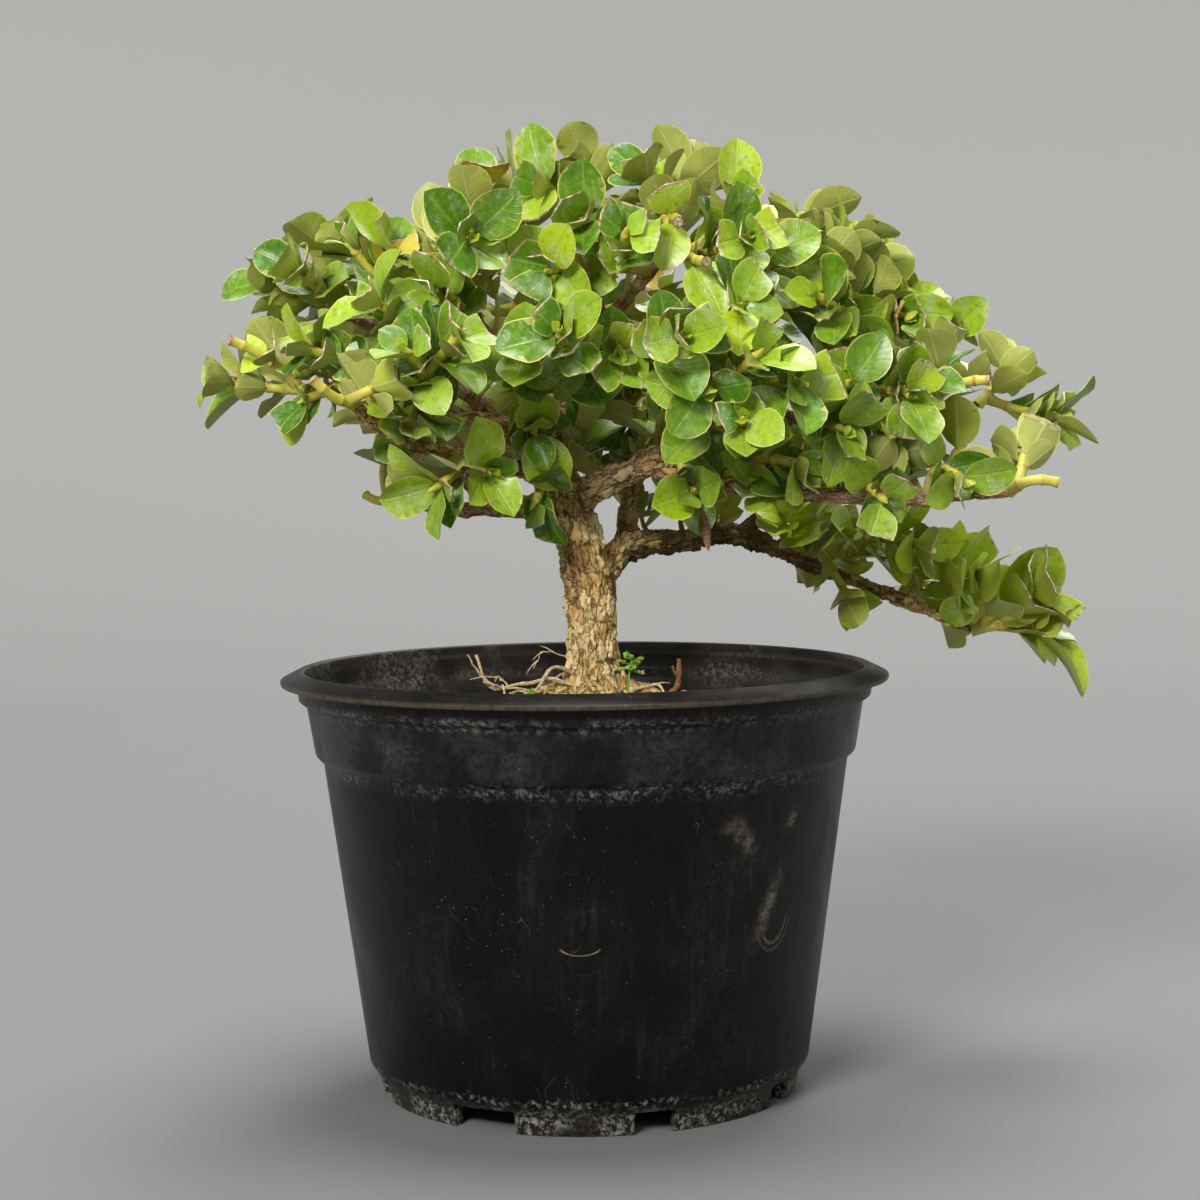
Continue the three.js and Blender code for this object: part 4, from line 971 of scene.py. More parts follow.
# Pot: outer wall from the foot up, over the sloping lip, and back down the inside to the axis
INNER_BASE = 60.1 - WALL
INNER_SHOULDER = 71.2 - WALL
FLOOR = FOOT_HEIGHT + WALL
POT_PROFILE = [
    [0, FOOT_HEIGHT], [53.6, FOOT_HEIGHT], [53.9, 0], [56.6, 0], [57.6, 5.2], [60.1, 8.5], [71.2, 90.5],
    [73.3, 92.2], [75.5, 105.8], [77.6, 107], [77.9, 111], [RIM_RADIUS - 0.2, 111.2], [RIM_RADIUS, 112.4],
    [77.2, POT_HEIGHT], [75.9, 114.6], [75.4, 107], [73.6, 104.5], [71.6, 93], [INNER_SHOULDER, 90.6],
    [INNER_BASE, FLOOR + 1.5], [INNER_BASE - 2, FLOOR], [0, FLOOR],
]
GAP_START = -28
WIDE_GAP, NARROW_GAP = 18, 11
GAP_RADIUS, GAP_DEPTH, SLOT_TOP = 56, 12, 6.3
BOX_FACES = [(0, 3, 2, 1), (4, 5, 6, 7), (0, 1, 5, 4), (1, 2, 6, 5), (2, 3, 7, 6), (3, 0, 4, 7)]
POT_SEGMENTS = 168


def softened(profile, reach):
    """The profile with each corner rounded off within a reach of it."""
    profile = [vec(*p) for p in profile]
    rounded = [profile[0]]
    for before, corner, after in zip(profile, profile[1:], profile[2:]):
        back, on = before - corner, after - corner
        cut = min(reach, 0.35 * math.hypot(*back), 0.35 * math.hypot(*on))
        start, end = corner + unit(back) * cut, corner + unit(on) * cut
        rounded += [start, 0.25 * start + 0.5 * corner + 0.25 * end, end]
    return rounded + [profile[-1]]


def turned(surface, profile, segments, at=0.0):
    """A closed solid of revolution; the profile starts and ends on the axis."""
    turn = 2 * math.pi * np.arange(segments) / segments
    points = [vec(0, 0, profile[0][1])]
    for radius, z in profile[1:-1]:
        points.extend(np.column_stack([radius * np.cos(turn), radius * np.sin(turn), np.full(segments, z)]))
    points.append(vec(0, 0, profile[-1][1]))
    faces = []
    rings = len(profile) - 2
    for k in range(segments):
        n = (k + 1) % segments
        faces.append((0, 1 + n, 1 + k))
        for i in range(rings - 1):
            a = 1 + i * segments
            faces.append((a + k, a + n, a + segments + n, a + segments + k))
        top = 1 + (rings - 1) * segments
        faces.append((top + k, top + n, len(points) - 1))
    surface.add(np.array(points) + at, faces)


# Rubbed places: angle from the front in degrees, height, width in degrees, height of the mark, lean and
# strength
SCUFFS = [
    [35.5, 76, 1.4, 4.0, -0.5, 0.5], [32.5, 79.5, 2.4, 1.4, 0.5, 0.4], [44.0, 57, 1.3, 6.5, 0.33, 0.75],
    [42.5, 51.5, 1.2, 1.6, 0.4, 0.7], [49.0, 78.5, 0.9, 2.2, 0.4, 0.6],
]


def scuff_amount(points):
    """How much each point of the pot's wall is rubbed pale, from 0 to 1."""
    angle = np.degrees(np.arctan2(points[:, 0], -points[:, 1]))
    amount = np.zeros(len(points))
    for at, height, wide, tall, lean, strength in SCUFFS:
        up = points[:, 2] - height
        off = (angle - at - lean * up) / wide
        amount = np.maximum(amount, strength * np.exp(-off ** 2 - (up / tall) ** 2))
    return amount


def make_pot():
    surface = Surface("scuff", "inside")
    fine = []
    rounded = softened(POT_PROFILE, 0.7)
    for a, b in zip(rounded, rounded[1:]):
        steps = max(1, round(math.dist(a, b) / 2.2)) if a[0] > 59 and b[0] > 59 else 1
        fine += [a + (b - a) * (i / steps) for i in range(steps)]
    turned(surface, fine + [rounded[-1]], POT_SEGMENTS)
    surface.values["scuff"] = [scuff_amount(surface.points[0])]
    outer_rings = max(i for i, point in enumerate(fine) if point[1] > POT_HEIGHT - 0.3)
    surface.values["inside"] = [(np.arange(surface.count) > outer_rings * POT_SEGMENTS).astype(float)]
    pot = surface.piece("nursery_pot", [black_polypropylene("black_polypropylene")], crease=40)
    cutter = Surface()
    for i in range(FOOT_COUNT):
        wide = WIDE_GAP if i % (FOOT_COUNT // 2) == 0 else NARROW_GAP
        half = GAP_RADIUS * math.tan(math.radians(wide / 2))
        turn = math.radians(GAP_START + 360 / FOOT_COUNT * i)
        corners = []
        for z, (x, y) in itertools.product((-SLOT_TOP, SLOT_TOP), ((-1, -1), (1, -1), (1, 1), (-1, 1))):
            u, v = x * half, -GAP_RADIUS + y * GAP_DEPTH / 2
            c, s = math.cos(turn), math.sin(turn)
            corners.append([u * c - v * s, u * s + v * c, z])
        cutter.add(corners, BOX_FACES)
    gaps = cutter.piece("foot_gaps", [])
    cut = pot.modifiers.new("gaps", "BOOLEAN")
    cut.object, cut.operation, cut.solver = gaps, "DIFFERENCE", "EXACT"
    evaluated(pot, "nursery_pot")
    bpy.data.objects.remove(gaps)
    pot.data.set_sharp_from_angle(angle=math.radians(40))
    hand_in(pot, "pot_plastic", "pot")


# Soil: its top's height by the radius, and the outline of its body below
SOIL_RADII, SOIL_HEIGHTS = [0, 22, 48, 67, 70], [SOIL_AT_TRUNK, 104, 98.5, SOIL_AT_WALL, 93.2]
SOIL_EDGE = 69.2
SOIL_BODY = [(0, FLOOR + CLEARANCE), (INNER_BASE - 2.6, FLOOR + CLEARANCE), (INNER_BASE - 0.7, FLOOR + 2),
             (SOIL_EDGE, 90.4)]
SOIL_GRAIN = {"Lump height": 0.0045, "Crumbs": 240000.0, "Seed": SEED}  # metres, and crumbs to a square metre
CRUMB_SIZES = (0.5, 0.35, 0.25), (1.9, 1.3, 0.9)  # millimetres: smallest and largest


def new_group(name, sockets):
    """A Geometry Nodes tree with its inputs by name and type."""
    tree = bpy.data.node_groups.new(name, "GeometryNodeTree")
    for label, kind in {"Geometry": "Geometry", **sockets}.items():
        tree.interface.new_socket(label, in_out="INPUT", socket_type="NodeSocket" + kind)
    tree.interface.new_socket("Geometry", in_out="OUTPUT", socket_type="NodeSocketGeometry")
    return tree, add_node(tree, "NodeGroupInput")


def run_group(thing, geometry, values):
    """Gives a thing the tree that ends in this geometry, with the tree's inputs set by name."""
    tree = geometry.node.id_data
    add_node(tree, "NodeGroupOutput", {0: geometry})
    modifier = thing.modifiers.new(tree.name, "NODES")
    modifier.node_group = tree
    for item in tree.interface.items_tree:
        if item.in_out == "INPUT" and item.name in values:
            modifier[item.identifier] = values[item.name]


def make_soil():
    """The mound: a closed body with a lumpy top, then crumbs strewn over it by Geometry Nodes."""
    surface = Surface("top")
    inward = np.linspace(0, SOIL_EDGE, 64)[:0:-1]
    mound = list(zip(inward, np.interp(inward, SOIL_RADII, SOIL_HEIGHTS)))
    turned(surface, SOIL_BODY + mound + [(0, SOIL_AT_TRUNK)], 120)
    surface.values["top"] = [(surface.points[0][:, 2] > 91).astype(float)]
    mix = potting_mix("peat_and_bark_mix")
    soil = surface.piece("potting_soil", [mix], crease=180)
    tree, inputs = new_group("lumps_and_crumbs", {"Lump height": "Float", "Crumbs": "Float", "Seed": "Int"})

    g = functools.partial(add_node, tree)
    top = g("GeometryNodeInputNamedAttribute", {"Name": "top"})
    lumps = g("ShaderNodeTexNoise", {"Scale": 210.0, "Detail": 5.0, "Roughness": 0.62})["Fac"]
    offset = g("ShaderNodeCombineXYZ", {"Z": (lumps - 0.5) * inputs["Lump height"] * top})
    mound = g("GeometryNodeSetPosition", {"Geometry": inputs["Geometry"], "Offset": offset})
    strewn = g("GeometryNodeDistributePointsOnFaces", {
        "Mesh": mound, "Selection": top, "Density": inputs["Crumbs"], "Seed": inputs["Seed"]})["Points"]
    tone = g("FunctionNodeRandomValue", {2: 0.0, 3: 1.0, "Seed": 3}, data_type="FLOAT")[1]
    toned = g("GeometryNodeStoreNamedAttribute", {"Geometry": strewn, "Name": "tone", "Value": tone},
              data_type="FLOAT", domain="POINT")
    turn, size = (
        g("FunctionNodeRandomValue", {0: least, 1: most, "Seed": seed}, data_type="FLOAT_VECTOR")
        for least, most, seed in (((0, 0, 0), (6.3, 6.3, 6.3), 5), (*CRUMB_SIZES, 7)))
    crumb = g("GeometryNodeMeshIcoSphere", {"Radius": 0.001, "Subdivisions": 1})
    placed = g("GeometryNodeInstanceOnPoints", {
        "Points": toned, "Instance": crumb, "Rotation": turn, "Scale": size})
    both = g("GeometryNodeJoinGeometry", {0: placed})
    tree.links.new(mound.node.outputs[0], both.node.inputs[0])
    real = g("GeometryNodeRealizeInstances", {0: both})
    run_group(soil, g("GeometryNodeSetMaterial", {0: real, "Material": mix}), SOIL_GRAIN)
    evaluated(soil, "potting_soil")
    hand_in(soil, "soil", "soil")


# Wood
TRUNK_POINTS = [[3, 0, TRUNK_FOOT], [3, 0, 104], [2.6, 0, 110], [2.4, 0, 122], [2.2, 0, 134],
                [0, 0, 144], [-2, 0, 153], [-3.2, 0, 159], [-4.4, 0.5, TRUNK_TOP]]
THIN_ROOT = 2.0
VOXEL = 0.00058  # metres: fine enough for the smallest swellings, coarse enough for the triangle limit
BARK_RELIEF = {"Fissure depth": 0.0010, "Flake height": 0.0017}
# Swollen healed cuts: centre and radius
KNOBS = [
    [(-6.5, -2.5, 157), 4.6], [(-1, -3, 158.5), 4.4], [(-5.5, 2, 160), 4.0], [(3.5, -2, 147), 3.4],
    [(1.2, -2, 189), 3.4], [(5.5, -8.5, 206), 3.2], [(38.5, -28, 177.5), 3.0], [(40, -21, 208), 2.6],
    [(13, 15.5, 146.5), 4.0], [(44, 38, 148), 3.2], [(-22, -4, 180), 3.4], [(17, -11.5, 169.5), 3.9],
]


def trunk_radius(share, angle):
    """A straight foot in the soil, the flare with its root ridges, the shaft and the callus at the fork."""
    z = TRUNK_FOOT + share * (TRUNK_TOP - TRUNK_FOOT)
    flare = 3.6 * math.exp(-(((z - 104) / 7) ** 2))
    taper = -2 * min(1, (z - 134) / 18) if z > 134 else 0
    callus = 1.5 * math.exp(-(((z - 158) / 3.5) ** 2))
    ridges = 0.55 * np.sin(5 * angle + z * 0.09) + 0.3 * np.sin(3 * angle - z * 0.21)
    lumps = 0.25 * np.sin(7 * angle + z * 0.33) * math.sin(z * 0.21)
    return TRUNK_RADIUS + flare + taper + callus + ridges + lumps


def add_knob(surface, centre, radius):
    arc = [radius * vec(math.sin(a), -math.cos(a)) for a in np.linspace(0, math.pi, 9)]
    turned(surface, arc, 12, vec(*centre))


def root_radius(share, angle, root):
    return branch_radius(root, share) * (1 + 0.12 * np.sin(3 * angle + 9 * share))


def bough_radius(share, angle, branch):
    """A branch with its ridges, and with lumps along it."""
    ridges = 0.08 * np.sin(2 * angle + 4 * math.sin(7 * share))
    ridges = ridges + 0.05 * np.sin(5 * angle + 3 * math.sin(29 * share))
    return branch_radius(branch, share) * (1 + ridges + 0.08 * np.sin(41 * share + 1.6 * np.sin(angle)))


def wood_lines():
    """Every woody centre line: its curve, its radius by share and angle, its rings, its sides and its age."""
    lines = [(Spline(TRUNK_POINTS), trunk_radius, 70, 40, 1.0)]
    for root in ROOTS:
        if root["radii"][0] > THIN_ROOT:
            lines.append((Spline(root["points"]), functools.partial(root_radius, root=root), 22, 14, 0.9))
    for branch in BRANCHES.values():
        thick, spans = branch["radii"][0], len(branch["points"]) - 1
        old = 0.9 if thick > 4 else 0.65 if thick > 3 else 0.35
        radius = functools.partial(bough_radius, branch=branch)
        lines.append((Spline(branch["points"]), radius, 18 * spans, 18, old))
    return lines


def make_tree():
    """Trunk, roots and branches are joined by a fine remesh, then cracked and flaked by Geometry Nodes."""
    rough = Surface()
    marks = []
    for number, (curve, radius, rings, sides, old) in enumerate(wood_lines()):
        shares = np.linspace(0, 1, rings)
        centres = np.array([curve.at(share) for share in shares])
        turn = 2 * math.pi * np.arange(sides) / sides
        radii = np.array([np.broadcast_to(radius(share, turn), sides) for share in shares])
        first = vec(1, 0, 0) if number == 0 else None
        run, laid = add_tube(rough, centres, radii, sides, first=first)
        for i, tangent in enumerate(tangents_of(centres)):
            marks.append((*centres[i], *tangent, *laid[i], radii[i].mean(), run[i], old, number * 37.0))
    for centre, radius in KNOBS:
        add_knob(rough, centre, radius)
    made = rough.piece("trunk_and_branches", [])
    remesh = made.modifiers.new("joined", "REMESH")
    remesh.mode, remesh.voxel_size, remesh.use_smooth_shade = "VOXEL", VOXEL, True
    evaluated(made, "joined")
    smooth = made.modifiers.new("healed", "SMOOTH")
    smooth.factor, smooth.iterations = 0.6, 4
    evaluated(made, "healed")
    paint_wood(made, np.array(marks))
    run_group(made, bark_relief(), BARK_RELIEF)
    evaluated(made, "trunk_and_branches")
    made.data.materials.clear()
    made.data.materials.append(plum_bark("flaky_plum_bark"))
    made.data.shade_smooth()
    hand_in(made, "bark", "tree")


# Patches of bark by what is painted there, pale where it is stripped, and dark on the low right branch,
# partly its darker old bark and partly painted shade under the crown: centre and reach
PATCHES = {
    "pale": [((8, -5, 165.5), 7), ((14, -9, 168), 6), ((-12, -8, 168), 5), ((16, 31, 168), 4)],
    "dark": [((13, 17, 146), 8), ((24, 27, 147), 9), ((36, 34, 148), 9), ((50, 38, 147), 8),
             ((64, 33, 140), 7)],
}


def paint_wood(made, marks):
    """Gives each point its place along and round its branch, and how old the bark is there."""
    count = len(made.data.vertices)
    points = np.empty(count * 3)
    made.data.vertices.foreach_get("co", points)
    points = (points.reshape(-1, 3) - AXIS) * 1000
    grain = np.empty((count, 3))
    painted = {"old": np.empty(count), "pale": np.zeros(count), "dark": np.zeros(count)}
    for start in range(0, count, 4000):
        some = points[start:start + 4000]
        gap = np.linalg.norm(some[:, None] - marks[None, :, :3], axis=2) - marks[:, 9]
        nearest = marks[gap.argmin(axis=1)]
        away = some - nearest[:, :3]
        tangent, side = nearest[:, 3:6], nearest[:, 6:9]
        up = np.cross(tangent, side)
        grain[start:start + 4000] = np.column_stack([
            (away * side).sum(1) + nearest[:, 12], (away * up).sum(1),
            nearest[:, 10] + (away * tangent).sum(1)])
        weight = np.exp(-np.maximum(0, gap - gap.min(axis=1)[:, None]) / 1.2)
        painted["old"][start:start + 4000] = (weight * marks[:, 11]).sum(1) / weight.sum(1)
    for name, patches in PATCHES.items():
        for centre, reach in patches:
            near = np.exp(-(np.linalg.norm(points - vec(*centre), axis=1) / reach) ** 2)
            painted[name] = np.maximum(painted[name], near)
    attribute = made.data.attributes.new("grain", "FLOAT_VECTOR", "POINT")
    attribute.data.foreach_set("vector", grain.ravel())
    for name, values in painted.items():
        attribute = made.data.attributes.new(name, "FLOAT", "POINT")
        attribute.data.foreach_set("value", values)


def bark_relief():
    """Cracks that run along the grain between raised flakes, deep on old bark and faint on young."""
    tree, inputs = new_group("bark_relief", dict.fromkeys(BARK_RELIEF, "Float"))

    g = functools.partial(add_node, tree)

    def pattern(sizes, *noise):
        scaled = g("vectors", grain, tuple(1 / s for s in sizes), operation="MULTIPLY")
        return g("noise", scaled, *noise)

    grain = g("GeometryNodeInputNamedAttribute", {"Name": "grain"}, data_type="FLOAT_VECTOR")
    old = g("GeometryNodeInputNamedAttribute", {"Name": "old"})
    ridge = g("ABSOLUTE", pattern((2.7, 2.7, 10), 4.0, 0.6, 0.8) - 0.5)
    broken = g("fade", pattern((4.0, 4.0, 7.0), 3.0, 0.6, 0.5), 0.42, 0.54)
    cross = g("ABSOLUTE", pattern((4.5, 4.5, 5), 3.0, 0.6) - 0.5)
    crack = g("fade", ridge, 0.0, 0.05, 1.0, 0.0) * broken
    crack = g("MAXIMUM", crack, g("fade", cross, 0.0, 0.03, 0.7, 0.0))
    seam = g("fade", flake_cells(tree, grain, "DISTANCE_TO_EDGE"), 0.0, 0.16, 1.0, 0.0)
    crack = g("MAXIMUM", crack, seam * 0.45)
    flakes = pattern((1.7, 1.7, 3.6), 5.0, 0.66) * 0.55 + pattern((4.6, 4.6, 6.5), 2.0, 0.5, 0.3) * 0.45
    flakes = (flake_cells(tree, grain, "F1") - 0.5) * 0.3 + flakes
    amount = g("fade", old, 0.1, 0.9, 0.25, 1.0)
    sunk = crack * inputs["Fissure depth"] * amount
    raised = (flakes - 0.5) * inputs["Flake height"] * (amount * 2.4)
    offset = g("vectors", g("GeometryNodeInputNormal"), {"Scale": raised - sunk}, operation="SCALE")
    marked = g("GeometryNodeStoreNamedAttribute", {"Geometry": inputs["Geometry"], "Name": "crack",
               "Value": crack * amount}, data_type="FLOAT", domain="POINT")
    return g("GeometryNodeSetPosition", {"Geometry": marked, "Offset": offset})


# Fine roots on the soil, and the dead stick
ROOTLETS = [
    ([[-4, -6, 106], [-12, -10, 109], [-20, -13, 110], [-27, -16, 112]], 0.62, 0.4),
    ([[-14, -11, 109.6], [-17, -15, 105.5], [-20, -17, 104]], 0.5, 0.35),
    ([[-20, -13, 110], [-23, -9, 112.5], [-26, -8, 112.6]], 0.42, 0.25),
    ([[-24, -15, 110.8], [-28, -14, 114], [-31, -16, 119.5]], 0.5, 0.25),
    ([[-22, -14, 111], [-20, -19, 106], [-17, -24, 103.5]], 0.5, 0.4),
    ([[-5, 1, 113], [-9, -6, 111], [-12, -12, 107], [-14, -15, 105.5]], 0.55, 0.35),
    ([[-5, 2, 117], [-11, 2, 118.5], [-14, 0, 114]], 0.28, 0.15),
    ([[8, -8, 107], [6, -16, 106], [9, -24, 103.8]], 0.55, 0.3),
    ([[12, -6, 108], [19, -9, 110], [24, -13, 106], [27, -17, 103.6]], 0.7, 0.35),
    ([[18, -7, 108], [24, -5, 107], [30, -8, 105]], 0.5, 0.3),
    ([[20, -9, 107], [27, -8, 108], [31, -12, 104]], 0.4, 0.25),
    ([[-2, 9, 107], [-6, 17, 107], [-13, 24, 104]], 0.6, 0.3),
    ([[9, 9, 107], [17, 15, 107], [25, 17, 104]], 0.6, 0.3),
    ([[-8, 5, 107], [-18, 7, 107], [-27, 3, 104.5]], 0.55, 0.3),
    ([[-9, -12, 107], [-7, -20, 105.5], [-11, -28, 103]], 0.5, 0.3),
    ([[0, -10, 107], [-3, -18, 106.5], [2, -26, 103.2]], 0.5, 0.3),
]


def add_rod(surface, points, thick, thin, sides=7, wander=0.0, **values):
    """A thin stem or root; wander bends it off its line by that many millimetres, less near its ends."""
    curve = Spline(points)
    rings = 9 * curve.spans
    shares = np.linspace(0, 1, rings)
    wobble = 1 + 0.16 * np.sin(23 * shares + thick * 40) + 0.1 * np.sin(61 * shares + thin * 90)
    radii = (thick + (thin - thick) * shares) * wobble
    phase = points[-1][0] + points[0][1]
    bend = wander * np.sin(math.pi * shares) * np.array([
        np.sin(17 * shares + phase), np.sin(13 * shares + 2 * phase), np.sin(21 * shares + 3 * phase)])
    add_tube(surface, np.array([curve.at(share) for share in shares]) + bend.T, radii, sides, **values)


def make_rootlets():
    surface = Surface()
    for points, thick, thin in ROOTLETS:
        add_rod(surface, points, 0.66 * thick, 0.6 * thin, wander=0.3)
        curve = Spline(points)
        for side in range(3):
            share = 0.3 + 0.25 * side
            foot = curve.at(share)
            out = curve.tangent(share) + vec(*[FRESH.uniform(-0.7, most) for most in (0.7, 0.7, 0.2)])
            out = out * FRESH.uniform(2.5, 5.5)
            add_rod(surface, [foot, foot + out * 0.5 + vec(0, 0, 0.3), foot + out], 0.24, 0.1, 5)
    for root in ROOTS[:-1]:
        if root["radii"][0] <= THIN_ROOT:
            add_rod(surface, root["points"], *[0.62 * radius for radius in root["radii"]], wander=0.2)
    hand_in(surface.piece("surface_rootlets", [root_skin("dry_root_skin", "#b8985f", "#eedcb8")]), "bark")
    stick = Surface()
    add_rod(stick, ROOTS[-1]["points"], *ROOTS[-1]["radii"])
    add_rod(stick, [[25.2, -9, 112], [24, -10, 114], [23.6, -10.4, 115.2]], 0.5, 0.3)
    hand_in(stick.piece("dead_stick", [root_skin("dead_brown_stem", "#6b4526", "#a3764a")]), "bark")


# Shoots and leaves
SCAR_SPACING = 6.2
RINGS_PER_MM = 0.8
RING_STEPS = np.array([-1.3, -0.7, 0, 0.7, 1.3])
LEAF_THICKNESS = 0.75
FRESH_SHARE, WITHER_SHARE, BUD_SHARE = 0.38, 0.1, 0.6
WITHER_HEIGHT = 208  # only leaves near the top, which dry out first, are brown


def add_shoot(surface, shoot):
    """Round stem with a ring at each pair of leaves, and either a bud or a cut at its tip."""
    length, slim, cut = shoot.curve.length, shoot.radius / SHOOT_RADIUS, shoot.bare > BUD
    scars = list(shoot.node_shares)
    if cut:
        scars += list(1 - np.arange(3.6, shoot.bare, SCAR_SPACING) / length)
    rings = max(9, int(length * RINGS_PER_MM))
    shares = [np.linspace(0, 1, rings)] + [share + RING_STEPS / length for share in scars]
    shares = np.unique(np.concatenate(shares))
    shares = shares[(shares >= 0) & (shares <= 1)]
    run, back = shares * length, (1 - shares) * length
    ring = np.zeros(len(shares))
    for share in scars:
        ring = np.maximum(ring, np.exp(-((shares - share) * length / 0.75) ** 2))
    if cut:
        ring = np.maximum(ring, np.exp(-(back / 0.8) ** 2))
    radii = shoot.radius * (0.94 - 0.14 * shares) + 0.24 * slim * ring
    if shoot.frames[0].centre is shoot.curve.foot:
        radii = radii + 0.35 * slim * np.exp(-((run / 2.2) ** 2))
    centres = [shoot.curve.at(share) for share in shares]
    sunk = centres[0] - shoot.curve.tangent(0) * 0.7 * slim
    youth = np.clip(shoot.youth + 0.75 * (shares - 0.4), 0, 1)
    tone = FRESH.random()
    if not cut:
        reach = shoot.curve.tangent(1)
        centres += [shoot.curve.tip + reach * 0.8 * slim, shoot.curve.tip + reach * 1.8 * slim]
        radii = radii * (1 - 0.42 * np.exp(-((back / 1.3) ** 2)))
        radii = np.concatenate([radii, [radii[-1] * 0.7, radii[-1] * 0.2]])
        youth = np.concatenate([youth, [1, 1]])
        ring = np.concatenate([ring, [0.7, 1.0] if FRESH.random() < 0.55 else [0.1, 0.1]])
    centres, radii = [sunk] + centres, np.concatenate([[radii[0]], radii])
    dry = np.zeros(len(centres))
    if cut:
        dry[1:] = FRESH.uniform(0.4, 1.0) * np.clip(1 - back / FRESH.uniform(1.2, 3.0), 0, 1)
    add_tube(surface, centres, radii, 9, slot=1, cap_slot=2 if cut else 1,
             youth=np.concatenate([[youth[0]], youth]), ring=np.concatenate([[0], ring]), tone=tone, dry=dry)


def dress_shoot(surface, shoot):
    add_shoot(surface, shoot)
    for leaf in shoot.leaves:
        fresh = leaf.pair == 0 and FRESH.random() < FRESH_SHARE
        # Painted light: on the low right branch the leaves' youth is raised so they read lighter, as if
        # better lit
        youth = FRESH.uniform(0.55, 1) if fresh else FRESH.uniform(0, 0.5) + shoot.bright
        dries = leaf.cut < 1 and leaf.base[2] > WITHER_HEIGHT and FRESH.random() < WITHER_SHARE
        wither = FRESH.uniform(0.6, 1) if dries else 0.0
        wave = (FRESH.uniform(-0.5, 0.7), FRESH.uniform(0, 6), FRESH.uniform(-0.2, 0.5))
        add_blade(surface, leaf, LEAF_THICKNESS, FRESH.random(), youth, wither, wave)
    if shoot.bare <= BUD and FRESH.random() < BUD_SHARE:
        add_bud_leaves(surface, shoot.frames[-1])


def add_bud_leaves(surface, tip):
    """A pair of tiny new leaves at the tip."""
    for face in (1, 3):
        draws = [0.5, FRESH.uniform(-0.8, 0), 0, 0.5, FRESH.random()]
        leaf = Leaf(tip, tip.out(face), 0.8, 0.3, 0, -0.45, 1, FRESH.uniform(3.0, 5.0), draws, False)
        add_blade(surface, leaf, 0.45, 0.8, 1, 0, (0.2, 0, 0.1))


# The share of a branch's length from which short spurs grow out of its bark
SPURS_FROM = {
    "leader": 0.15, "rightFork": 0.5, "longRight": 0.35, "upperRight": 0.2, "lowRight": 0.66,
    "rearRise": 0.25, "rearLeft": 0.2, "rearRight": 0.3, "rearMiddle": 0.3, "rearOuter": 0.25,
    "frontLeft": 0.35, "rearLeftRise": 0.25, "left": 0.3, "upperLeft": 0.25, "crownLeft": 0.2, "crown": 0.15, "crownRight": 0.15,
    "crownRear": 0.2, "right": 0.15,
}
SPUR_SPACING = 3.6
SPUR_RADIUS = 0.72
SPUR_BUD = 0.9
PAIR_SPACING = 3.4
REACH_OUT = 13.0
HIGH = 200  # above it more of the leaves are cut
# Deep parts of the crown as ellipsoids: centre and reach along each axis
CORES = [((2, 14, 184), (40, 38, 20)), ((34, 34, 166), (34, 24, 18))]
# Single spurs that fill the crown behind the fork: branch, share of its length and the way they grow
LONE_SPURS = [
    ("lowRight", 0.27, (-0.5, 0.9, 0.9)), ("lowRight", 0.36, (0.7, 0.7, 0.7)),
    ("lowRight", 0.46, (-0.4, 1, 0.5)),
    ("rearRise", 0.3, (-1, 0.1, 0.5)), ("rearRise", 0.5, (-1, -0.2, 0.2)), ("rearRise", 0.2, (1, 0.5, 0.4)),
    ("rearRise", 0.42, (1, 0, 0.3)), ("crownRear", 0.12, (1, 0.6, 0)), ("crownRear", 0.3, (1, 0, -0.3)),
    ("rearLeft", 0.15, (0.3, 0.6, 1)), ("rearLeft", 0.3, (0.4, 0, 1)), ("rightFork", 0.4, (0, 1, 0.4)),
    ("rightFork", 0.6, (0, 1, 0)), ("rearRight", 0.12, (0, -0.4, 1)), ("rearRight", 0.3, (0, -0.6, 1)),
]
ADDED_REACH = 0.5


def stays_inside(leaf, crowd, box):
    """Whether an added leaf is in the CAD's box, and near a leaf that the CAD has or deep in the crown."""
    tips = leaf.samples[[2, 12, 22, 24, 20]]
    if (tips < box[0]).any() or (tips > box[1]).any():
        return False
    for centre, reach in CORES:
        if ((((tips - vec(*centre)) / vec(*reach)) ** 2).sum(axis=1) < 1).all():
            return True
    return bool((np.linalg.norm(tips[:, None] - crowd, axis=2).min(axis=1) < REACH_OUT).all())


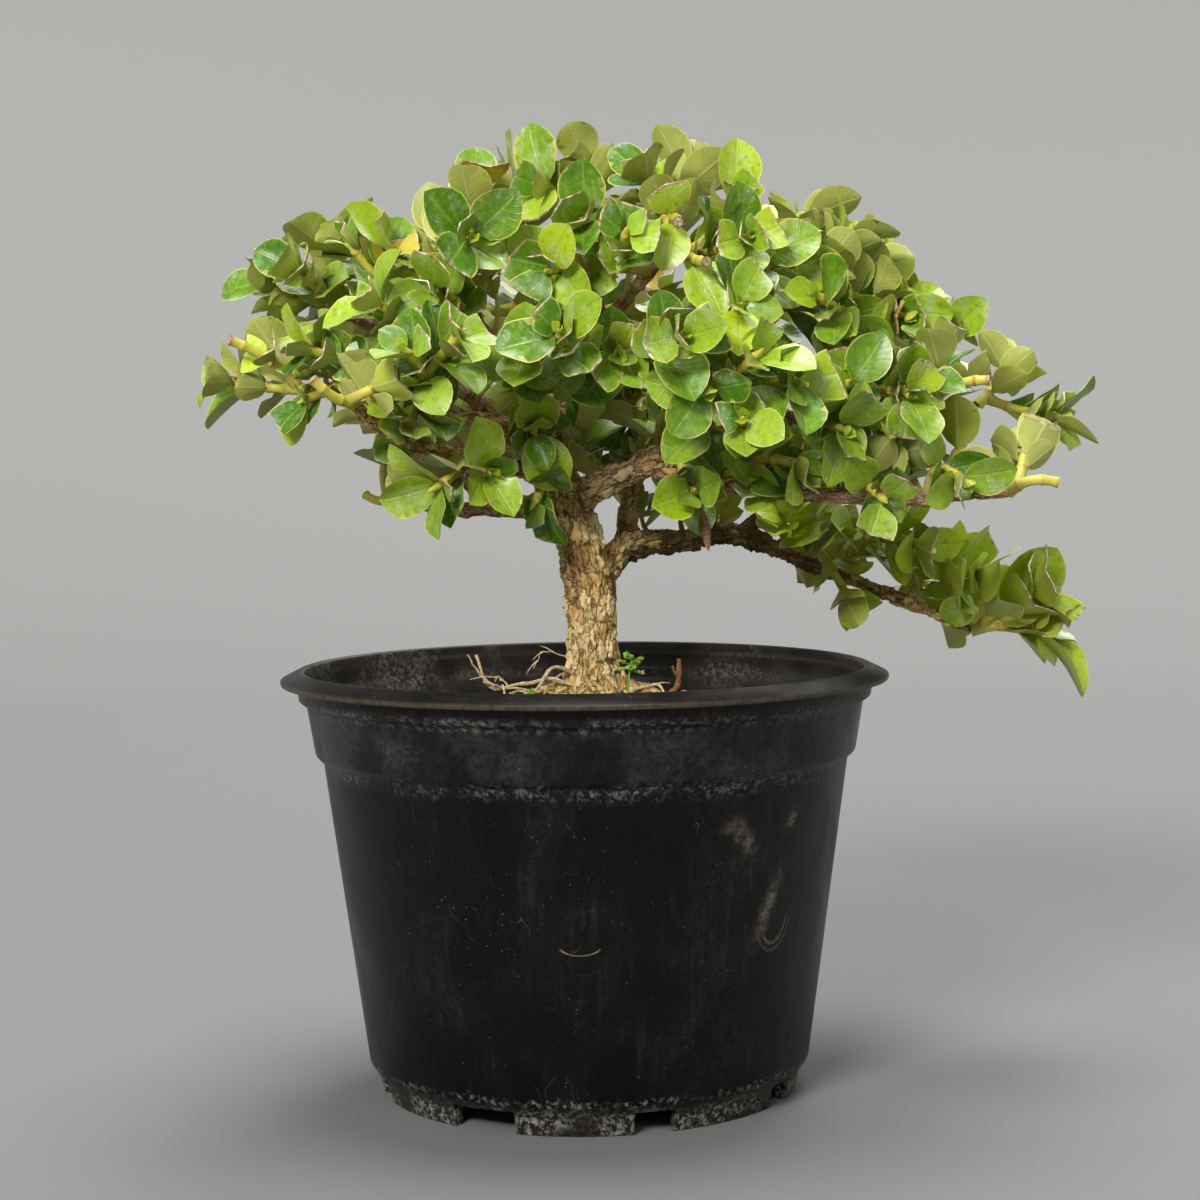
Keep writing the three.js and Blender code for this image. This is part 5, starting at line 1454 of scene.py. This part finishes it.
class CrownFiller:
    """Adds leaves between those that the CAD has, wherever one fits inside the crown."""

    def __init__(self, obstacles):
        self.obstacles = obstacles
        self.draw = np.random.default_rng(SEED + 1)
        self.crowd = obstacles.leaves[:obstacles.count, ::3].reshape(-1, 3).copy()
        box = [(np.array(corner) - AXIS) * 1000 for corner in CAD_BOX]
        self.box = (box[0] + 0.3, box[1] - 0.3)
        obstacles.reach = ADDED_REACH

    def try_leaf(self, shoot, node, out, full, sheared_share):
        draws = list(self.draw.random(5))
        draws[1] -= self.draw.uniform(0, 1.3)
        shoot.full = full
        twist = self.draw.uniform(-0.5, 0.5)
        grown = grow_leaf(shoot, node, out, twist, draws[2] < sheared_share, draws, self.obstacles)
        if grown and not stays_inside(grown, self.crowd, self.box):
            shoot.leaves.pop()
            self.obstacles.count -= 1
            return False
        if grown:
            grown.pair = 2
            grown.fold += 0.12
        return bool(grown)

    def try_pair(self, shoot, share, side, face, least, ample=1, sheared_share=0.2):
        """Leaves on two opposite faces of a shoot, each where it fits."""
        tangent = shoot.curve.tangent(share)
        node = Frame(shoot.curve.at(share), tangent, carried(side, tangent))
        return any([self.try_leaf(shoot, node, node.out(face + turn),
                                  LEAF_LENGTH * self.draw.uniform(least, 1.05) * ample, sheared_share)
                    for turn in (0, 2)])

    def fill_shoot(self, shoot):
        """Pairs between the pairs, smaller, all along a shoot of the CAD."""
        start = shoot.curve.length - shoot.bare if shoot.bare < 4 else 0
        high = shoot.curve.tip[2] > HIGH
        branch_name, place_share = TWIGS[shoot.twig][:2]
        ample = 1 if branch_name != "lowRight" else 1.5 if place_share > 0.85 else 1.2
        while start > FIRST_RING - 0.5:
            share = start / shoot.curve.length
            cut = (0.72 if high else 0.5) if share > 0.7 else (0.3 if high else 0.1)
            face = int(self.draw.integers(0, 2))
            if self.try_pair(shoot, share, shoot.frames[-2].side, face, 0.75, ample, cut):
                if min(abs(share - old) for old in shoot.node_shares + [2]) * shoot.curve.length > 3:
                    shoot.node_shares.append(share)
            start -= NODE_SPACING * 0.62

    def grow_spur(self, number, name, share, toward=None):
        """A short side shoot from a branch's bark, a twig's width thick, with its leaves near its tip."""
        branch = BRANCHES[name]
        owner = -1 - list(BRANCHES).index(name)
        curve = Spline(branch["points"])
        grain = curve.tangent(share)
        out = carried(across(grain, self.draw.uniform(0, 6.3)) + vec(0, 0, self.draw.uniform(0, 0.8)), grain)
        length = self.draw.uniform(4, 12)
        if toward:
            out, length = carried(unit(vec(*toward)), grain), 11
        if out[2] < -0.4:
            return None
        foot = curve.at(share) + out * (branch_radius(branch, share) - 0.6)
        tip = foot + unit(out + 0.45 * grain + vec(0, 0, 0.35)) * length
        bow = Bow(foot, foot + out * (0.5 * length), tip)
        if self.obstacles.room(bow, owner) < 0.2:
            return None
        spur = Shoot(bow, [Frame(foot, out, grain)], number, owner, [*tip, 0, SPUR_BUD])
        spur.radius = SPUR_RADIUS
        for step in range(5):
            self.obstacles.add_stem(bow.at(step / 4), SPUR_RADIUS, owner, number, step / 4)
        at, face = 1 - SPUR_BUD / bow.length, 0
        while at * bow.length > 1.6:
            if self.try_pair(spur, at, grain, face, 0.7):
                spur.node_shares.append(at)
            at, face = at - PAIR_SPACING / bow.length, 1 - face
        spur.frames.append(Frame(bow.at(1), bow.tangent(1), carried(grain, bow.tangent(1))))
        return spur

    def spurs_of(self, name):
        """Every spur of a branch that has found room for at least one leaf."""
        points = BRANCHES[name]["points"]
        length = sum(math.dist(a, b) for a, b in zip(points, points[1:]))
        first = -1000 * (1 + list(BRANCHES).index(name))
        along = np.arange(SPURS_FROM[name], 1, SPUR_SPACING / length)
        grown = [self.grow_spur(first - i, name, share) for i, share in enumerate(along)]
        lone = [(share, toward) for branch, share, toward in LONE_SPURS if branch == name]
        grown += [self.grow_spur(first - 500 - i, name, *where) for i, where in enumerate(lone)]
        return [spur for spur in grown if spur and spur.leaves]


def make_foliage(name, shoots, branch_name, youths, finishes, *nodes):
    """One piece of the shoots with their leaves, which are painted a lighter, limier green on the low right
    branch, as painted light.
    """
    surface = Surface("tone", "youth", "wither", "dry", "ring")
    for shoot in shoots:
        shoot.youth = FRESH.uniform(*youths)
        # Painted light for the leaves of the low right branch
        shoot.bright = 0.6 if branch_name == "lowRight" else 0.0
        dress_shoot(surface, shoot)
    hand_in(surface.piece(name, finishes, crease=75), "foliage", *nodes)


def make_crown():
    obstacles, shoots = lay_out_tree()
    filler = CrownFiller(obstacles)
    spurs = {name: filler.spurs_of(name) for name in SPURS_FROM}
    for shoot in shoots:
        filler.fill_shoot(shoot)
    finishes = [waxy_leaf("thick_waxy_leaf", "#487c12", "#9aba2c", "#b8d022", "#adb25a"),
                young_bark("young_shoot_bark", "#d0c94e", "#b3ad4c", "#a98660", "#a8622c"),
                corky_cut("corky_pruning_cut")]
    for twig, (branch_name, _, _) in enumerate(TWIGS):
        number = f"{twig + 1:02d}_{branch_name.lower()}"
        own = [shoot for shoot in shoots if shoot.twig == twig]
        make_foliage("leafy_twig_" + number, own, branch_name, (0.55, 1.0), finishes, "twig_" + number)
    for name, grown in spurs.items():
        if grown:
            make_foliage("leafy_spurs_" + name.lower(), grown, name, (0.1, 0.7), finishes)


# Weed seedlings beside the trunk: foot and tip of the stem, how many fronds, a frond's length and a
# leaflet's
WEEDS = [([11.5, -10, 103.2], [12.6, -11, 116.8], 8, 2.7, 1.25),
         ([-13.6, -16.6, 103.6], [-14.2, -17, 108.6], 3, 1.5, 1.2)]


def make_seedling():
    """A tuft of fern-like leaves, each a thin rib with small rounded leaflets on both sides."""
    surface = Surface("tone", "youth", "wither", "dry", "ring")
    for foot, tip, fronds, frond, leaflet in WEEDS:
        foot, tip = vec(*foot), vec(*tip)
        stem = Bow(foot, vec(foot[0], foot[1], 0.4 * foot[2] + 0.6 * tip[2]), tip)
        add_tube(surface, [stem.at(i / 8) for i in range(9)], np.linspace(0.4, 0.22, 9), 7, slot=1, youth=1.0)
        for i in range(fronds):
            share = 0.76 + 0.24 * i / (fronds - 1)
            turn = 2.4 * i
            start = stem.at(share)
            reach = unit(vec(math.cos(turn), math.sin(turn), -0.1 + 0.9 * i / (fronds - 1))) * frond
            rib = Bow(start, start + reach * 0.5 + vec(0, 0, 0.3), start + reach)
            ribs = [rib.at(k / 5) for k in range(6)]
            add_tube(surface, ribs, np.linspace(0.16, 0.09, 6), 5, slot=1, youth=1.0)
            for step in range(3):
                at = 0.45 + 0.27 * step
                node = Frame(rib.at(at), rib.tangent(at), carried(vec(0, 0, 1), rib.tangent(at)))
                for face in ((1, 3) if step < 2 else (1, 3, 0)):
                    leaf = Leaf(node, node.out(face), 0.1, 0, 0, 0.15 if step < 2 else -0.6, 1, leaflet,
                                [FRESH.random(), FRESH.random(), 0, 0.5, FRESH.random()], False)
                    add_blade(surface, leaf, 0.18, FRESH.random(), FRESH.uniform(0.3, 1), 0, (0.3, i, 0.2))
    soft = waxy_leaf("soft_weed_leaf", "#62b418", "#86d022", "#a6e232", "#8cc452")
    skin = young_bark("weed_stem", "#7fb536", "#7fa83a", "#8a8a40", "#8a8a40")
    hand_in(surface.piece("green_weed_seedling", [soft, skin]), "weed", "weed_seedling")


def make_dead_leaf():
    """A small dead leaf, brown, rolled and narrow, that hangs from a fork by its dried stalk."""
    surface = Surface("tone", "youth", "wither", "dry")
    node = Frame(vec(31, -34, 158), unit(vec(0.15, 0.1, -1)), vec(0, -1, 0))
    leaf = Leaf(node, unit(vec(0.2, -1, -0.3)), 0.3, 0.2, 0, -0.85, 1, 10, [0.5, 0.9, 0, 0.5, 1.0], False)
    leaf.width, leaf.fold = 3.6, 0.9
    add_blade(surface, leaf, 0.4, 0.3, 0, 0, (0.9, 1, 0.8))
    add_rod(surface, [[34, -31, 170], [31.5, -32.5, 163], [31, -34, 157.6]], 0.4, 0.3)
    hand_in(surface.piece("dead_leaf", [root_skin("dead_leaf_skin", "#6d4d33", "#a5815c")]), "foliage")


# Floor, light and camera
CAMERA_DISTANCE, CAMERA_HEIGHT, CAMERA_ASIDE = 682.5, 177.3, 4.39
PITCH, ROLL = 0.0655, -0.0121
FOCAL_SHARE = 2513.7 / 1200  # of the frame's width
SENSOR = 36
STAGE_FLOOR, STAGE_BEND, STAGE_WALL = 1.05, 0.7, 0.9  # metres: flat radius, bend radius, wall's top
# Where each soft light stands, the height at which it aims, its size in metres, and its watts
LIGHTS = {
    "key": ((-1.0, -2.2, 1.25), 0.16, 1.1, 120), "fill": ((1.4, -2.2, 0.8), 0.15, 1.3, 64),
    "top": ((0.1, 0.2, 2.2), 0.15, 1.0, 37), "rear": ((0.6, 1.7, 1.7), 0.18, 1.2, 22),
}


def make_stage():
    """A plain paper bowl: a flat pale floor that bends up into a low wall all round."""
    bend = [(STAGE_FLOOR + STAGE_BEND * math.sin(a), STAGE_BEND * (1 - math.cos(a)))
            for a in np.linspace(0, math.pi / 2, 17)]
    profile = [(STAGE_FLOOR * share, 0.0) for share in (0.25, 0.5, 0.75)] + bend
    profile.append((STAGE_FLOOR + STAGE_BEND, STAGE_WALL))
    sides = 96
    turn = 2 * math.pi * np.arange(sides) / sides
    points = [(0.0, 0.0, 0.0)] + [(r * math.cos(t), r * math.sin(t), z) for r, z in profile for t in turn]
    faces = [(0, 1 + k, 1 + (k + 1) % sides) for k in range(sides)]
    for ring in range(len(profile) - 1):
        a = 1 + ring * sides
        faces += [(a + k, a + sides + k, a + sides + (k + 1) % sides, a + (k + 1) % sides)
                  for k in range(sides)]
    floor = bpy.data.meshes.new("pale_floor")
    floor.from_pydata(points, [], faces)
    floor.shade_smooth()
    paper = Finish("matt_grey_paper", 0.95, ior=1.3)
    reach = paper("vectors", paper.place, operation="LENGTH")["Value"]
    floor.materials.append(paper.done(paper.over("#848483", ((reach, 0.3, 1.9), "#959593"))))
    made = bpy.data.objects.new("pale_floor", floor)
    bpy.context.scene.collection.objects.link(made)
    world = bpy.data.worlds.new("studio")
    bpy.context.scene.world = world
    world.use_nodes = True
    background = world.node_tree.nodes["Background"]
    background.inputs["Color"].default_value = colour("#b9b9b7")
    background.inputs["Strength"].default_value = 0.5


def make_lights():
    for name, (place_m, aim_height, size, watts) in LIGHTS.items():
        light = bpy.data.lights.new(name, "AREA")
        light.shape, light.size, light.energy = "DISK", size, watts
        made = bpy.data.objects.new(name, light)
        made.location = place_m
        aim = Vector((0, 0, aim_height)) - Vector(place_m)
        made.rotation_euler = aim.to_track_quat("-Z", "Y").to_euler()
        bpy.context.scene.collection.objects.link(made)


def make_camera():
    lens = bpy.data.cameras.new("camera")
    lens.sensor_width, lens.lens = SENSOR, SENSOR * FOCAL_SHARE
    lens.clip_start, lens.clip_end = 0.02, 60
    made = bpy.data.objects.new("camera", lens)
    made.location = AXIS + vec(CAMERA_ASIDE, -CAMERA_DISTANCE, CAMERA_HEIGHT) * 0.001
    turn = Matrix.Rotation(math.pi / 2 - PITCH, 3, "X") @ Matrix.Rotation(ROLL, 3, "Z")
    made.rotation_euler = turn.to_euler()
    bpy.context.scene.collection.objects.link(made)
    bpy.context.scene.camera = made


make_camera()
make_stage()
make_lights()
bpy.context.scene.view_settings.view_transform = "Standard"
make_pot()
make_soil()
make_tree()
make_rootlets()
make_crown()
make_seedling()
make_dead_leaf()
